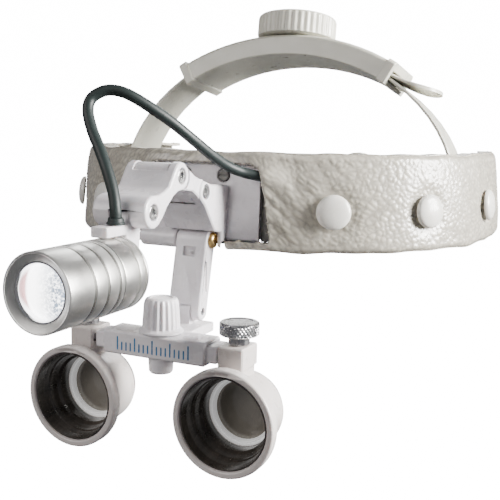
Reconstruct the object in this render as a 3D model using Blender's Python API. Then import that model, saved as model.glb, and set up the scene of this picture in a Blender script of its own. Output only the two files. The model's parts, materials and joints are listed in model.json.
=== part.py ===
"""Head-worn binocular loupe with an LED headlight on a leather-covered headband.

The script draws in millimetres and writes every object in metres, +Z up. The origin is
the centre of the head ring at half the height of the headband. The wearer faces -Y, so
+X is the wearer's left.
"""
import math

import bmesh
import bpy
from mathutils import Matrix, Vector

METRES = 0.001          # one millimetre
GAP = 0.3               # clearance between touching pieces

# Headband: a superellipse seen from above, in layers counted inwards from the leather
BAND_X = 98.9           # half-width over the leather
BAND_Y = 102.0          # half-length over the leather
BAND_POWER = 2.3        # 2 is an ellipse, more is squarer
BAND_HALF_HEIGHT = 19.2
BAND_FLARE = 1.6        # the lower edge stands out this much more than mid-height
LEATHER = 2.0           # thickness of the leather
LIP = 9.0               # depth of the folded leather edges
SHELL = (7.2, 9.2)      # white plastic shell, outer and inner depth
PLATE = (3.4, 6.9)      # moulded front plate in the window
PAD = (9.5, 15.5)       # forehead cushion
STRAP = (5.1, 6.9)      # rear straps
COVER_END = 35.0        # Y where the leather and the shell end behind the ears
SHELL_HALF_HEIGHT = 15.5
PAD_END = -44.0         # Y where the forehead cushion ends at each temple
WINDOW = (26.5, 33.0, -16.2, 15.2)   # half-width at the top and bottom, bottom, top
CAP_RADIUS = 6.8
CAP_ANGLES = (-61.0, -35.0, -6.5)    # places of the three snap caps on one side
CAP_Z = -3.0

# Arch over the head: an ellipse in a plane that leans back
ARCH_LEAN = math.radians(8.0)
ARCH_Y = -13.0
ARCH_Z = -4.0
ARCH_X = 85.9
ARCH_RIGHT = 68.9       # height of the right strap's middle line
ARCH_LEFT = 71.4        # the left strap runs over the right one
ARCH_STRAP = (26.0, 1.6)
TOP_KNOB_RADIUS = 19.3

# Folding link that carries the light: pins along X at (y, z)
PIN_A = (-153.5, -0.5)
PIN_B = (-134.4, 11.0)
PIN_C = (-117.0, 4.4)
LINK_HALF = 10.8
TONGUE_HALF = 6.9
LIGHT_Z = -21.0
LIGHT_RADIUS = 12.7
LIGHT_FRONT = -202.0
LIGHT_REAR = -159.2

# Loupe: arm, cross bar and two barrels
ARM_PIVOT = (-104.2, -15.8)
ARM_HALF = 7.0
TILT_PIVOT = (-110.4, -43.4)
BAR_Y = (-137.0, -124.0)
BAR_Z = (-57.2, -48.2)
BAR_HALF = 22.0
SCREW_X = 32.5
SCREW_TOP = -46.0
KNOB_Y = -130.5
BARREL_X = 32.25
BARREL_Z = -74.8
BARREL_FRONT = -143.5
BARREL_RIM = 19.85
BARREL_BODY = 16.9
SLIDE_Z = -52.7         # middle of the slides and of the pinion between them

# Cable from the light's holder, in a loop over the link and in under the leather
CABLE_RADIUS = 2.0
CABLE_START = (1.6, -162.8, -1.7)
CABLE_ROUTE = [
    CABLE_START, (1.5, -162.8, 1.0), (-0.1, -161.7, 6.5), (-3.7, -160.0, 13.6), (-7.9, -158.0, 20.1),
    (-12.5, -156.0, 26.7), (-15.6, -154.0, 32.8), (-16.0, -152.0, 37.0), (-13.4, -150.0, 39.6),
    (-9.8, -148.0, 40.5), (-4.6, -146.0, 39.2), (1.2, -141.0, 35.0), (5.8, -135.0, 30.4),
    (10.1, -128.0, 24.8), (13.9, -119.0, 18.6), (16.2, -111.0, 14.5), (19.3, -104.8, 11.9),
    (23.0, -101.6, 10.7), (27.0, -99.6, 9.9), (31.5, -97.2, 9.4), (36.5, -94.2, 9.1),
]
HIDDEN_DEPTH = 4.6      # depth of the cable in the channel between leather and shell

# Joint axes, one empty for each moving body
BODY_ORIGIN = {
    "headband": (0.0, 0.0, 0.0),
    "top_knob": (0.0, ARCH_Y, 0.0),
    "rear_knob": (0.0, BAND_Y, 0.0),
    "link_rear": (0.0, *PIN_C),
    "link_front": (0.0, *PIN_B),
    "light": (0.0, *PIN_A),
    "loupe_arm": (0.0, *ARM_PIVOT),
    "carrier": (0.0, *TILT_PIVOT),
    "pd_knob": (0.0, KNOB_Y, BAR_Z[1]),
    "slide_left": (BAR_HALF, KNOB_Y, SLIDE_Z),
    "slide_right": (-BAR_HALF, KNOB_Y, SLIDE_Z),
    "barrel_left": (SCREW_X, KNOB_Y, SLIDE_Z),
    "barrel_right": (-SCREW_X, KNOB_Y, SLIDE_Z),
    "thumbscrew_left": (SCREW_X, KNOB_Y, SCREW_TOP),
    "thumbscrew_right": (-SCREW_X, KNOB_Y, SCREW_TOP),
}

AXIS_FRAMES = {         # two directions across each axis, then the axis itself
    "X": (Vector((0, 1, 0)), Vector((0, 0, 1)), Vector((1, 0, 0))),
    "Y": (Vector((0, 0, 1)), Vector((1, 0, 0)), Vector((0, 1, 0))),
    "Z": (Vector((1, 0, 0)), Vector((0, 1, 0)), Vector((0, 0, 1))),
}

COLOURS = {             # colour, roughness, metallic
    "white plastic": ((0.80, 0.79, 0.78), 0.35, 0.0),
    "cream plastic": ((0.76, 0.74, 0.66), 0.40, 0.0),
    "leather": ((0.78, 0.76, 0.70), 0.55, 0.0),
    "foam": ((0.10, 0.10, 0.11), 0.90, 0.0),
    "aluminium": ((0.62, 0.62, 0.60), 0.35, 1.0),
    "steel": ((0.55, 0.55, 0.56), 0.30, 1.0),
    "brass": ((0.70, 0.50, 0.22), 0.30, 1.0),
    "black plastic": ((0.02, 0.02, 0.02), 0.25, 0.0),
    "cable": ((0.03, 0.04, 0.04), 0.40, 0.0),
    "glass": ((0.80, 0.86, 0.88), 0.05, 0.0),
    "lit lens": ((0.95, 0.97, 1.00), 0.10, 0.0),
}


# ---------------------------------------------------------------- drawing tools
def clear_scene():
    for item in list(bpy.data.objects):
        bpy.data.objects.remove(item, do_unlink=True)


def material(name, finish):
    colour, roughness, metallic = COLOURS[finish]
    made = bpy.data.materials.new(name)
    made.use_nodes = True
    shader = made.node_tree.nodes["Principled BSDF"]
    shader.inputs["Base Color"].default_value = (*colour, 1.0)
    shader.inputs["Roughness"].default_value = roughness
    shader.inputs["Metallic"].default_value = metallic
    return made


def make_bodies():
    """One empty on each joint's axis; the pieces are parented to it."""
    for name, place in BODY_ORIGIN.items():
        empty = bpy.data.objects.new("axis_" + name, None)
        empty.location = Vector(place) * METRES
        bpy.context.collection.objects.link(empty)
    bpy.context.view_layer.update()


def piece(name, body, finish, solid):
    """Name a finished solid, give it its material and hang it on its body's axis."""
    solid.name = name
    solid.data.name = name
    solid.data.transform(Matrix.Translation(-Vector(BODY_ORIGIN[body])))
    solid.data.transform(Matrix.Scale(METRES, 4))
    solid.parent = bpy.data.objects["axis_" + body]
    solid.data.materials.clear()
    solid.data.materials.append(material(name, finish))
    solid.data.shade_smooth()
    solid.data.set_sharp_from_angle(angle=math.radians(32))
    return solid


def to_object(bm):
    """Turn a bmesh into an object, still in millimetres."""
    bmesh.ops.remove_doubles(bm, verts=bm.verts, dist=1e-4)
    bmesh.ops.recalc_face_normals(bm, faces=bm.faces)
    bmesh.ops.triangulate(bm, faces=[f for f in bm.faces if len(f.verts) > 4])
    mesh = bpy.data.meshes.new("draft")
    bm.to_mesh(mesh)
    bm.free()
    made = bpy.data.objects.new("draft", mesh)
    bpy.context.collection.objects.link(made)
    return made


def combine(base, operation, *tools):
    """Boolean the tools into the base one after another and keep only the result."""
    for tool in tools:
        change = base.modifiers.new("change", "BOOLEAN")
        change.operation = operation
        change.solver = "EXACT"
        change.object = tool
        bpy.context.view_layer.update()
        shaped = base.evaluated_get(bpy.context.evaluated_depsgraph_get())
        mesh = bpy.data.meshes.new_from_object(shaped)
        base.modifiers.clear()
        clean(mesh)
        base.data = mesh
        bpy.data.objects.remove(tool, do_unlink=True)
    return base


def clean(mesh):
    """Weld points a few micrometres apart and redraw flat areas with few faces."""
    bm = bmesh.new()
    bm.from_mesh(mesh)
    bmesh.ops.remove_doubles(bm, verts=bm.verts, dist=0.003)
    bmesh.ops.dissolve_degenerate(bm, edges=bm.edges, dist=0.001)
    bmesh.ops.dissolve_limit(bm, angle_limit=math.radians(0.2), verts=bm.verts, edges=bm.edges)
    bmesh.ops.triangulate(bm, faces=bm.faces)
    bm.to_mesh(mesh)
    bm.free()


def join(base, *tools):
    return combine(base, "UNION", *tools)


def cut(base, *tools):
    return combine(base, "DIFFERENCE", *tools)


def bevel_edges(bm, edges, width, segments=1):
    if width > 0 and edges:
        bmesh.ops.bevel(bm, geom=edges, offset=width, segments=segments,
                        profile=0.5, affect="EDGES", clamp_overlap=True)


def block(low, high, bevel=0.0, segments=1):
    """A box between two corners, its edges rounded."""
    bm = bmesh.new()
    bmesh.ops.create_cube(bm, size=1.0)
    for vert in bm.verts:
        vert.co = Vector([(a + b) / 2 + (b - a) * t for a, b, t in zip(low, high, vert.co)])
    bevel_edges(bm, list(bm.edges), bevel, segments)
    return to_object(bm)


def prism(axis, outline, low, high, bevel=0.0, segments=1):
    """An outline in the plane across an axis, extruded from low to high along it."""
    order = {"X": (2, 0, 1), "Y": (0, 2, 1), "Z": (0, 1, 2)}[axis]
    bm = bmesh.new()
    ends = []
    for level in (low, high):
        corners = []
        for a, b in outline:
            spot = (a, b, level)
            corners.append(bm.verts.new([spot[k] for k in order]))
        ends.append(corners)
    bm.faces.new(ends[0])
    bm.faces.new(list(reversed(ends[1])))
    count = len(outline)
    for i in range(count):
        j = (i + 1) % count
        bm.faces.new((ends[0][j], ends[0][i], ends[1][i], ends[1][j]))
    bmesh.ops.recalc_face_normals(bm, faces=bm.faces)
    if bevel > 0:
        rims = [e for f in bm.faces if len(f.verts) == count for e in f.edges]
        bevel_edges(bm, list(set(rims)), bevel, segments)
    return to_object(bm)


def ring_of_points(bm, axis, centre, level, reaches):
    """Points round an axis at one level, at the given radii; a zero radius gives one point."""
    across, side, along = AXIS_FRAMES[axis]
    middle = Vector(centre) + along * level
    if reaches[0] < 1e-6:
        return [bm.verts.new(middle)]
    ring = []
    for i, reach in enumerate(reaches):
        turn = 2 * math.pi * i / len(reaches)
        ring.append(bm.verts.new(middle + across * reach * math.cos(turn) + side * reach * math.sin(turn)))
    return ring


def skin(bm, pairs, steps):
    """Faces between each pair of rings; a ring of one point makes a fan."""
    for first, second in pairs:
        for i in range(steps):
            corners = [first[i % len(first)], first[(i + 1) % len(first)],
                       second[(i + 1) % len(second)], second[i % len(second)]]
            unique = list(dict.fromkeys(corners))
            if len(unique) > 2:
                bm.faces.new(unique)


def turned(axis, centre, profile, steps=20):
    """Turn (radius, position) points about an axis through the centre."""
    bm = bmesh.new()
    rings = [ring_of_points(bm, axis, centre, level, [radius] * steps) for radius, level in profile]
    pairs = list(zip(rings, rings[1:]))
    if len(rings[0]) > 1 and len(rings[-1]) > 1:
        pairs.append((rings[-1], rings[0]))
    skin(bm, pairs, steps)
    return to_object(bm)


def rod(axis, centre, radius, low, high, bevel=0.0, steps=14):
    """A plain round bar with bevelled ends."""
    if bevel > 0:
        profile = [(0, low), (radius - bevel, low), (radius, low + bevel),
                   (radius, high - bevel), (radius - bevel, high), (0, high)]
    else:
        profile = [(0, low), (radius, low), (radius, high), (0, high)]
    return turned(axis, centre, profile, steps)


def arc(centre, radius, start, end, steps=8):
    """Points on a circle, from one angle to another in degrees."""
    points = []
    for i in range(steps + 1):
        turn = math.radians(start + (end - start) * i / steps)
        points.append((centre[0] + radius * math.cos(turn), centre[1] + radius * math.sin(turn)))
    return points


def smooth_line(points, spacing):
    """Catmull-Rom curve through route points, read at about even spacing."""
    route = [Vector(p) for p in points]
    route = [route[0] * 2 - route[1]] + route + [route[-1] * 2 - route[-2]]
    fine = []
    for a, b, c, d in zip(route, route[1:], route[2:], route[3:]):
        for k in range(20):
            t = k / 20
            fine.append(0.5 * (2 * b + (c - a) * t + (2 * a - 5 * b + 4 * c - d) * t ** 2
                               + (3 * b - a - 3 * c + d) * t ** 3))
    fine.append(route[-2])
    length = sum((q - p).length for p, q in zip(fine, fine[1:]))
    step = length / round(length / spacing)
    kept = [fine[0]]
    travelled = 0.0
    for p, q in zip(fine, fine[1:]):
        travelled += (q - p).length
        if travelled >= step * len(kept) - 1e-6:
            kept.append(q)
    kept[-1] = fine[-1]
    return kept


# ---------------------------------------------------------------- headband shapes
def ring_point(turn, depth, z):
    """A point on the head ring: turn in degrees from +X, depth inwards, height."""
    flare = -BAND_FLARE * z / BAND_HALF_HEIGHT
    c = math.cos(math.radians(turn))
    s = math.sin(math.radians(turn))
    power = 2 / BAND_POWER
    return Vector(((BAND_X - depth + flare) * math.copysign(abs(c) ** power, c),
                   (BAND_Y - depth + flare) * math.copysign(abs(s) ** power, s), z))


def ring_turn(y):
    """The turn on the +X side where the ring crosses a given Y."""
    share = min(1.0, abs(y) / BAND_Y) ** (BAND_POWER / 2)
    return math.copysign(math.degrees(math.asin(share)), y)


def front_turn(x):
    """The turn at the front where the ring crosses a given X."""
    share = min(1.0, abs(x) / BAND_X) ** (BAND_POWER / 2)
    turn = math.degrees(math.acos(share))
    return -turn if x >= 0 else turn - 180.0


def band(section, start, end, steps, inset=None):
    """Sweep a closed (depth, z) section along the ring between two turns."""
    bm = bmesh.new()
    rings = []
    for i in range(steps + 1):
        turn = start + (end - start) * i / steps
        extra = inset(turn) if inset else 0.0
        rings.append([bm.verts.new(ring_point(turn, d + extra, z)) for d, z in section])
    count = len(section)
    for first, second in zip(rings, rings[1:]):
        for i in range(count):
            j = (i + 1) % count
            bm.faces.new((first[i], first[j], second[j], second[i]))
    bm.faces.new(rings[0])
    bm.faces.new(list(reversed(rings[-1])))
    return to_object(bm)


def slab(depths, low, high, round_off=0.6):
    """A thin rectangular (depth, z) section with its corners taken off."""
    a, b = depths
    r = round_off
    return [(a + r, low), (b - r, low), (b, low + r), (b, high - r),
            (b - r, high), (a + r, high), (a, high - r), (a, low + r)]


def leather_cover():
    h = BAND_HALF_HEIGHT
    t = LEATHER
    lower = [(0, -h + 2.4), (0.5, -h + 0.8), (2.0, -h), (LIP, -h), (LIP, -h + t), (t + 0.6, -h + t),
             (t, -h + t + 0.6)]
    section = lower + [(depth, -z) for depth, z in reversed(lower)]
    end = ring_turn(COVER_END)
    cover = band(section, -180.0 - end, end, 38)
    top, bottom, low, high = WINDOW
    corner = 5.0
    opening = [(-bottom, low), (bottom, low)] + arc((top - corner, high - corner), corner, 12, 90, 4)
    opening += arc((-top + corner, high - corner), corner, 90, 168, 4)
    window = prism("Y", opening, -112, -80)
    notch = block((-24.8, -112, -30), (12.4, -97.6, low + 1))
    cable_mouth = block((20, -112, 5.6), (46, -80, 13.4))
    return cut(cover, window, notch, cable_mouth)


def band_shell():
    end = ring_turn(COVER_END + 3)
    return band(slab(SHELL, -SHELL_HALF_HEIGHT, SHELL_HALF_HEIGHT), -180.0 - end, end, 34)


def forehead_pad():
    end = ring_turn(PAD_END)
    return band(slab(PAD, -14.5, 14.5, 2.0), -180.0 - end, end, 22)


def snap_cap(turn):
    """A domed press-stud cap standing on the leather."""
    dome = [(0, GAP), (CAP_RADIUS - 0.3, GAP), (CAP_RADIUS, 1.2), (CAP_RADIUS - 1.2, 2.2), (0, 2.9)]
    cap = turned("Z", (0, 0, 0), dome, 16)
    here = ring_point(turn, 0, CAP_Z)
    tangent = ring_point(turn + 1, 0, CAP_Z) - ring_point(turn - 1, 0, CAP_Z)
    rise = ring_point(turn, 0, CAP_Z + 1) - ring_point(turn, 0, CAP_Z - 1)
    outward = tangent.cross(rise).normalized()
    turned_to = outward.to_track_quat("Z", "Y").to_matrix().to_4x4()
    cap.data.transform(Matrix.Translation(here) @ turned_to)
    return cap


def rear_strap(side):
    """Toothed strap from the shell's end round to the ratchet box at the back."""
    low_turn = ring_turn(COVER_END - 17)
    reach = 109.0
    inner = 2.1 if side > 0 else 0.0
    section = slab(STRAP, -7.0, 7.0, 0.3)

    def inset(turn):
        share = min(1.0, max(0.0, (turn - 32.0) / 22.0))
        return inner * share * share * (3 - 2 * share)

    strap = band(section, low_turn, reach, 18, inset)
    if side < 0:
        strap.data.transform(Matrix.Scale(-1, 4, (1, 0, 0)))
        strap.data.flip_normals()
    slot = toothed_slot("Y", (-27.0 * side, 17.0 * side), side, 90, 106, 0.0)
    return cut(strap, slot)


def toothed_slot(axis, span, side, low, high, middle):
    """Cutter for the rack slot that the ratchet pinion runs in: teeth on one long edge."""
    pitch = 4.0
    start, end = sorted(span)
    half = 4.4
    count = int((end - start) / pitch)
    tooth_edge = []
    for i in range(count + 1):
        at = start + i * pitch
        tooth_edge.append((at, middle + half * side))
        if i < count:
            tooth_edge.append((at + pitch / 2, middle + (half - 1.2) * side))
    last = tooth_edge[-1][0]
    plain_edge = [(last, middle - half * side), (start, middle - half * side)]
    return prism(axis, tooth_edge + plain_edge, low, high)


def rear_box():
    """Hollow ratchet box at the back of the head."""
    outer = band(slab((2.2, 12.2), -13.5, 13.5, 1.6), 66.0, 114.0, 16)
    inner = band(slab((4.6, 9.7), -8.0, 8.0, 0.4), 60.0, 120.0, 20)
    hole = rod("Y", (0, 0, 0), 4.9, BAND_Y - 6, BAND_Y + 4)
    return cut(outer, inner, hole)


def ribbed_knob(axis, centre, radius, low, high, ribs, depth):
    """A round knob whose side is cut into ribs, with a domed top."""
    levels = [(0.0, low, 0.0), (0.93, low, 0.0), (1.0, low + 0.8, 1.0), (1.0, high - 1.6, 1.0),
              (0.94, high - 0.4, 0.3), (0.86, high, 0.0), (0.0, high + 0.3, 0.0)]
    steps = ribs * 2
    bm = bmesh.new()
    rings = []
    for share, level, ribbing in levels:
        reaches = [radius * share - depth * ribbing * (i % 2 == 0) for i in range(steps)]
        rings.append(ring_of_points(bm, axis, centre, level, reaches))
    skin(bm, list(zip(rings, rings[1:])), steps)
    return to_object(bm)


def pinion(axis, centre, radius, low, high, depth=0.9, teeth=6):
    """A coarse gear wheel."""
    outline = []
    for i in range(teeth * 2):
        turn = math.pi * i / teeth
        reach = radius if i % 2 == 0 else radius - depth
        outline.append((centre[0] + reach * math.cos(turn), centre[1] + reach * math.sin(turn)))
    return prism(axis, outline, low, high)


def rear_knob():
    knob = ribbed_knob("Y", (0, 0, 0), 15.0, BAND_Y - 0.4, BAND_Y + 9.6, 16, 0.7)
    shaft = rod("Y", (0, 0, 0), 4.4, BAND_Y - 4.6, BAND_Y + 1)
    gear = pinion("Y", (0, 0), 2.8, BAND_Y - 9.0, BAND_Y - 4.0)
    return join(knob, shaft, gear)


# ---------------------------------------------------------------- arch over the head
def lean_back(solid):
    """Arch pieces are drawn upright over the origin, then leant back on their feet."""
    place = Matrix.Translation((0, ARCH_Y, 0)) @ Matrix.Rotation(-ARCH_LEAN, 4, "X")
    solid.data.transform(place)
    return solid


def sweep_arch(centre_line, section):
    """Sweep an (across, up) section along (x, z) points."""
    bm = bmesh.new()
    rings = []
    for i, spot in enumerate(centre_line):
        before = centre_line[max(i - 1, 0)]
        after = centre_line[min(i + 1, len(centre_line) - 1)]
        tangent = (after - before).normalized()
        if centre_line[0].x < centre_line[-1].x:
            normal = Vector((-tangent.y, tangent.x))
        else:
            normal = Vector((tangent.y, -tangent.x))
        ring = []
        for across, up in section:
            raised = spot + normal * up
            ring.append(bm.verts.new((raised.x, across, raised.y)))
        rings.append(ring)
    count = len(section)
    for first, second in zip(rings, rings[1:]):
        for i in range(count):
            j = (i + 1) % count
            bm.faces.new((first[i], first[j], second[j], second[i]))
    bm.faces.new(rings[0])
    bm.faces.new(list(reversed(rings[-1])))
    return to_object(bm)


def arch_line(height, start, end, steps):
    """Points on the arch ellipse between two angles in degrees from +X."""
    line = []
    for i in range(steps + 1):
        turn = math.radians(start + (end - start) * i / steps)
        line.append(Vector((ARCH_X * math.cos(turn), ARCH_Z + height * math.sin(turn))))
    return line


def top_strap(side):
    """Arch strap on one side; the +X one lies below, the other ends in a free tail."""
    half = ARCH_STRAP[0] / 2
    thick = ARCH_STRAP[1] / 2
    section = [(-half, thick - 0.5), (-half + 0.6, thick), (half - 0.6, thick), (half, thick - 0.5),
               (half, -thick + 0.5), (half - 0.6, -thick), (-half + 0.6, -thick), (-half, -thick + 0.5)]
    if side > 0:
        strap = sweep_arch(arch_line(ARCH_RIGHT, 5, 118, 20), section)
    else:
        strap = free_tail_strap(section)
    start = 28.0 if side > 0 else 20.0
    strap = cut(strap, toothed_slot("Z", (-start, 48.0 - start), side, 50, 80, 0.0))
    return join(lean_back(strap), arch_foot(side))


def free_tail_strap(section):
    """The strap that passes over the box and stands off in a rounded tail."""
    line = arch_line(ARCH_LEFT, 175, 54, 22)
    along = (line[-1] - line[-2]).normalized()
    end = line[-1]
    step = 5.4
    lift = 0.0075
    for i in range(1, 6):
        line.append(end + along * i * step + Vector((0.0, lift * (i * step) ** 2)))
    strap = sweep_arch(line, section)
    tip = line[-1].x
    radius = ARCH_STRAP[0] / 2
    outline = arc((tip - radius, 0), radius, -90, 90, 12) + [(-200, radius + 1), (-200, -radius - 1)]
    return combine(strap, "INTERSECT", prism("Z", outline, -40, 90))


def arch_foot(side):
    """The strap's wide foot, riveted inside the shell and shaped like the band."""
    foot = band(slab((9.5, 11.4), -12.0, 12.0, 0.4), ring_turn(-42.0), ring_turn(16.0), 12)
    outline = [(-40, -9), (-37, -12), (11, -12), (14, -9), (14, -2), (1, 12), (-27, 12), (-40, -2)]
    foot = combine(foot, "INTERSECT", prism("X", outline, 60, 110))
    if side < 0:
        foot.data.transform(Matrix.Scale(-1, 4, (1, 0, 0)))
        foot.data.flip_normals()
    return foot


def top_box():
    """Hollow channel that joins the two arch straps and carries the knob."""
    outer_section = [(-16, -2.7), (16, -2.7), (16, 5.6), (14.6, 6.8), (-14.6, 6.8), (-16, 5.6)]
    flange = [(-17, -3.4), (17, -3.4), (17, 6.6), (15.6, 7.8), (-15.6, 7.8), (-17, 6.6)]
    inner_section = [(-13.5, -1.3), (13.5, -1.3), (13.5, 3.8), (-13.5, 3.8)]
    outer = sweep_arch(arch_line(ARCH_RIGHT, 53, 127, 18), outer_section)
    ends = [sweep_arch(arch_line(ARCH_RIGHT, low, low + 3, 1), flange) for low in (52.5, 124.5)]
    outer = join(outer, *ends)
    inner = sweep_arch(arch_line(ARCH_RIGHT, 46, 134, 18), inner_section)
    hole = rod("Z", (0, 0, 0), 5.0, 66, 90)
    return lean_back(cut(outer, inner, hole))


def top_knob():
    knob = ribbed_knob("Z", (0, 0, 0), TOP_KNOB_RADIUS, 72.2, 83.4, 22, 0.6)
    shaft = rod("Z", (0, 0, 0), 4.5, 68.6, 73)
    gear = pinion("Z", (0, 0), 2.8, 64.1, 69)
    return lean_back(join(knob, shaft, gear))


# ---------------------------------------------------------------- bracket and folding link
def front_plate():
    plate = band(slab(PLATE, -15.9, 14.3, 0.5), front_turn(-25.2), front_turn(25.2), 12)
    recesses = [rod("Y", (x, 0, 9.7), 2.9, -103, -96.2) for x in (-8.6, 8.6)]
    return cut(plate, *recesses)


def plate_screw(x):
    head = rod("Y", (x, 0, 9.7), 2.5, -97.9, -96.5, 0.3, 14)
    slot = block((x - 2.0, -100, 9.4), (x + 2.0, -97.3, 10.0))
    return cut(head, slot)


def ear_holes(pin, half):
    """Cutters for a pin hole and the counterbores of its two heads."""
    centre = (0, *pin)
    return [rod("X", centre, 1.7, -half - 5, half + 5, steps=12),
            rod("X", centre, 3.0, half - 1.6, half + 5),
            rod("X", centre, 3.0, -half - 5, -half + 1.6)]


def bracket():
    """Moulded bracket on the plate: ears for the link above, knuckle for the arm below."""
    side = [(-97.0, -18.6), (-97.0, 5.9), (-112.6, 7.0)]
    side += arc(PIN_C, 4.4, 110, 232, 8)
    side += [(-117.6, -0.6), (-114.6, -4.4), (-111.6, -8.2), (-109.0, -11.3), (-103.6, -12.4),
             (-103.6, -18.6)]
    body = prism("X", side, -11.2, 11.2, 0.5)
    knuckle = rod("X", (0, *ARM_PIVOT), 3.9, -24.0, -7.4, 0.4)
    body = join(body, knuckle)
    pocket = rod("X", (0, *ARM_PIVOT), 4.2, -ARM_HALF - 0.3, ARM_HALF + 0.3)
    below = block((-ARM_HALF - 0.28, -116, -30), (ARM_HALF + 0.28, -99, ARM_PIVOT[1] - 0.13))
    head_room = rod("X", (0, *ARM_PIVOT), 3.7, ARM_HALF, 9.4)
    pin_hole = rod("X", (0, *ARM_PIVOT), 1.8, -20.0, 0)
    tongue_room = rod("X", (0, *PIN_C), 5.1, -TONGUE_HALF - 0.3, TONGUE_HALF + 0.3)
    behind = band([(PLATE[0] - GAP, -16.5), (12, -16.5), (12, 12), (PLATE[0] - GAP, 12)],
                  front_turn(30), front_turn(-30), 14)
    cover_room = band([(-GAP, -24), (12, -24), (12, -16.0), (-GAP, -16.0)],
                      front_turn(30), front_turn(-30), 14)
    return cut(body, pocket, below, head_room, pin_hole, tongue_room, *ear_holes(PIN_C, 11.2),
               behind, cover_room)


def link_rear():
    """Short link from the bracket's ears to the front link."""
    side = arc(PIN_B, 4.7, 75, 265, 8) + [(-130.5, 5.7), (-126.5, 5.2), (-122.5, 3.2)]
    side += arc(PIN_C, 4.5, -125, 80, 8) + [(-120.7, 9.3), (-124.6, 10.6), (-129.0, 13.2)]
    body = prism("X", side, -LINK_HALF, LINK_HALF, 0.5)
    cheeks = []
    for pin, radius in ((PIN_B, 5.5), (PIN_C, 4.8)):
        for low, high in ((TONGUE_HALF, 20), (-20, -TONGUE_HALF)):
            cheeks.append(rod("X", (0, *pin), radius, low, high, steps=24))
    holes = [rod("X", (0, *pin), 1.7, -20, 20, steps=12) for pin in (PIN_B, PIN_C)]
    return cut(body, *cheeks, *holes)


def link_front():
    """Broad link that reaches forward and carries the light."""
    side = arc(PIN_B, 5.1, -75, 150, 8) + [(-142.7, 7.9), (-146.0, 6.3), (-149.6, 5.2)]
    side += arc(PIN_A, 5.7, 95, 305, 8)
    side += [(-147.6, -3.0), (-144.5, 0.6), (-140.2, 4.0), (-137.0, 5.6)]
    body = prism("X", side, -LINK_HALF, LINK_HALF, 0.6)
    tongue_room = rod("X", (0, *PIN_B), 5.2, -TONGUE_HALF - 0.3, TONGUE_HALF + 0.3, steps=24)
    room_half = TONGUE_HALF + 0.28
    rear_room = block((-room_half, PIN_B[0] + 0.17, 0.1), (room_half, PIN_B[0] + 12, 22))
    slot = arc(PIN_A, 4.3, 10, 160, 8)
    slot += [(-160.5, -0.6), (-160.5, -9.0), (-144.5, -9.0), (-145.5, -0.8)]
    holder_room = prism("X", slot, -3.8, 3.8)
    return cut(body, tongue_room, rear_room, holder_room, *ear_holes(PIN_A, LINK_HALF),
               *ear_holes(PIN_B, LINK_HALF))


def link_pin(pin, half):
    """Shouldered pin with a hexagon socket in each recessed head."""
    head = 2.7
    inner = half - 1.3
    outer = half - 0.3
    profile = [(0, -outer), (head - 0.3, -outer), (head, -outer + 0.3), (head, -inner), (1.4, -inner),
               (1.4, inner), (head, inner), (head, outer - 0.3), (head - 0.3, outer), (0, outer)]
    body = turned("X", (0, *pin), profile, 14)
    hexagon = arc(pin, 1.5, 30, 330, 5)
    sockets = [prism("X", hexagon, outer - 0.8, outer + 1),
               prism("X", hexagon, -outer - 1, -outer + 0.8)]
    return cut(body, *sockets)


# ---------------------------------------------------------------- headlight
def light_holder():
    """Bar over the light with a leg behind it, hinged in the front link."""
    side = [(-170.3, -8.0), (-158.9, -8.0), (-158.9, -15.5), (-157.2, -17.3), (-153.0, -17.3),
            (-150.9, -14.6), (-149.7, -1.4)]
    side += arc(PIN_A, 3.9, -10, 190, 9) + [(-158.4, -4.4), (-170.3, -4.4)]
    body = prism("X", side, -3.4, 3.4, 0.4)
    return cut(body, rod("X", (0, *PIN_A), 1.7, -6, 6, steps=12))


def grooved(radius, start, end, grooves, depth=0.45, width=0.5):
    """Outer profile of a turned tube with round grooves."""
    profile = [(radius - 0.5, start), (radius, start + 0.5)]
    for at in grooves:
        profile += [(radius, at - width), (radius - depth, at), (radius, at + width)]
    profile += [(radius, end - 0.4), (radius - 0.4, end)]
    return profile


def light_head():
    outer = grooved(LIGHT_RADIUS, LIGHT_FRONT, -173.5, (-189.4, -182.5, -176.2))
    inner = [(10.4, -173.5), (10.4, -196.8), (9.5, -197.2), (9.5, -199.0), (11.6, LIGHT_FRONT)]
    return turned("Y", (0, 0, LIGHT_Z), outer + inner, 24)


def light_tail():
    outer = grooved(LIGHT_RADIUS, -173.2, LIGHT_REAR, (-165.0, -161.2))
    profile = [(0, -162.4), (10.4, -162.4), (10.4, -173.2)] + outer + [(0, LIGHT_REAR)]
    return turned("Y", (0, 0, LIGHT_Z), profile, 24)


def light_lens():
    profile = [(0, -198.2), (4.0, -198.0), (7.4, -197.4), (9.2, -196.6), (10.1, -196.4),
               (10.1, -194.6), (0, -194.6)]
    return turned("Y", (0, 0, LIGHT_Z), profile, 22)


def reflector():
    profile = [(9.3, -194.2), (10.0, -194.2), (10.0, -192.6), (7.4, -188.0), (3.6, -183.3),
               (2.3, -183.3), (2.3, -184.2), (5.2, -187.0), (7.9, -191.0)]
    return turned("Y", (0, 0, LIGHT_Z), profile, 16)


def led():
    profile = [(0, -184.6), (1.1, -184.4), (1.9, -183.4), (1.9, -182.9), (9.9, -182.9),
               (9.9, -181.6), (0, -181.6)]
    return turned("Y", (0, 0, LIGHT_Z), profile, 16)


def heat_sink():
    profile = [(0, -181.2), (10.0, -181.2)]
    for i in range(2):
        at = -177.0 + i * 7.0
        profile += [(10.0, at), (8.0, at + 0.5), (8.0, at + 1.5), (10.0, at + 2.0)]
    profile += [(10.0, -162.8), (0, -162.8)]
    return turned("Y", (0, 0, LIGHT_Z), profile, 16)


def cable_gland():
    """Collar on the holder where the cable comes out."""
    profile = [(0, -4.1), (2.9, -4.1), (2.9, -3.2), (2.5, -2.3), (0, -2.3)]
    return turned("Z", (CABLE_START[0], CABLE_START[1], 0), profile, 16)


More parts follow.
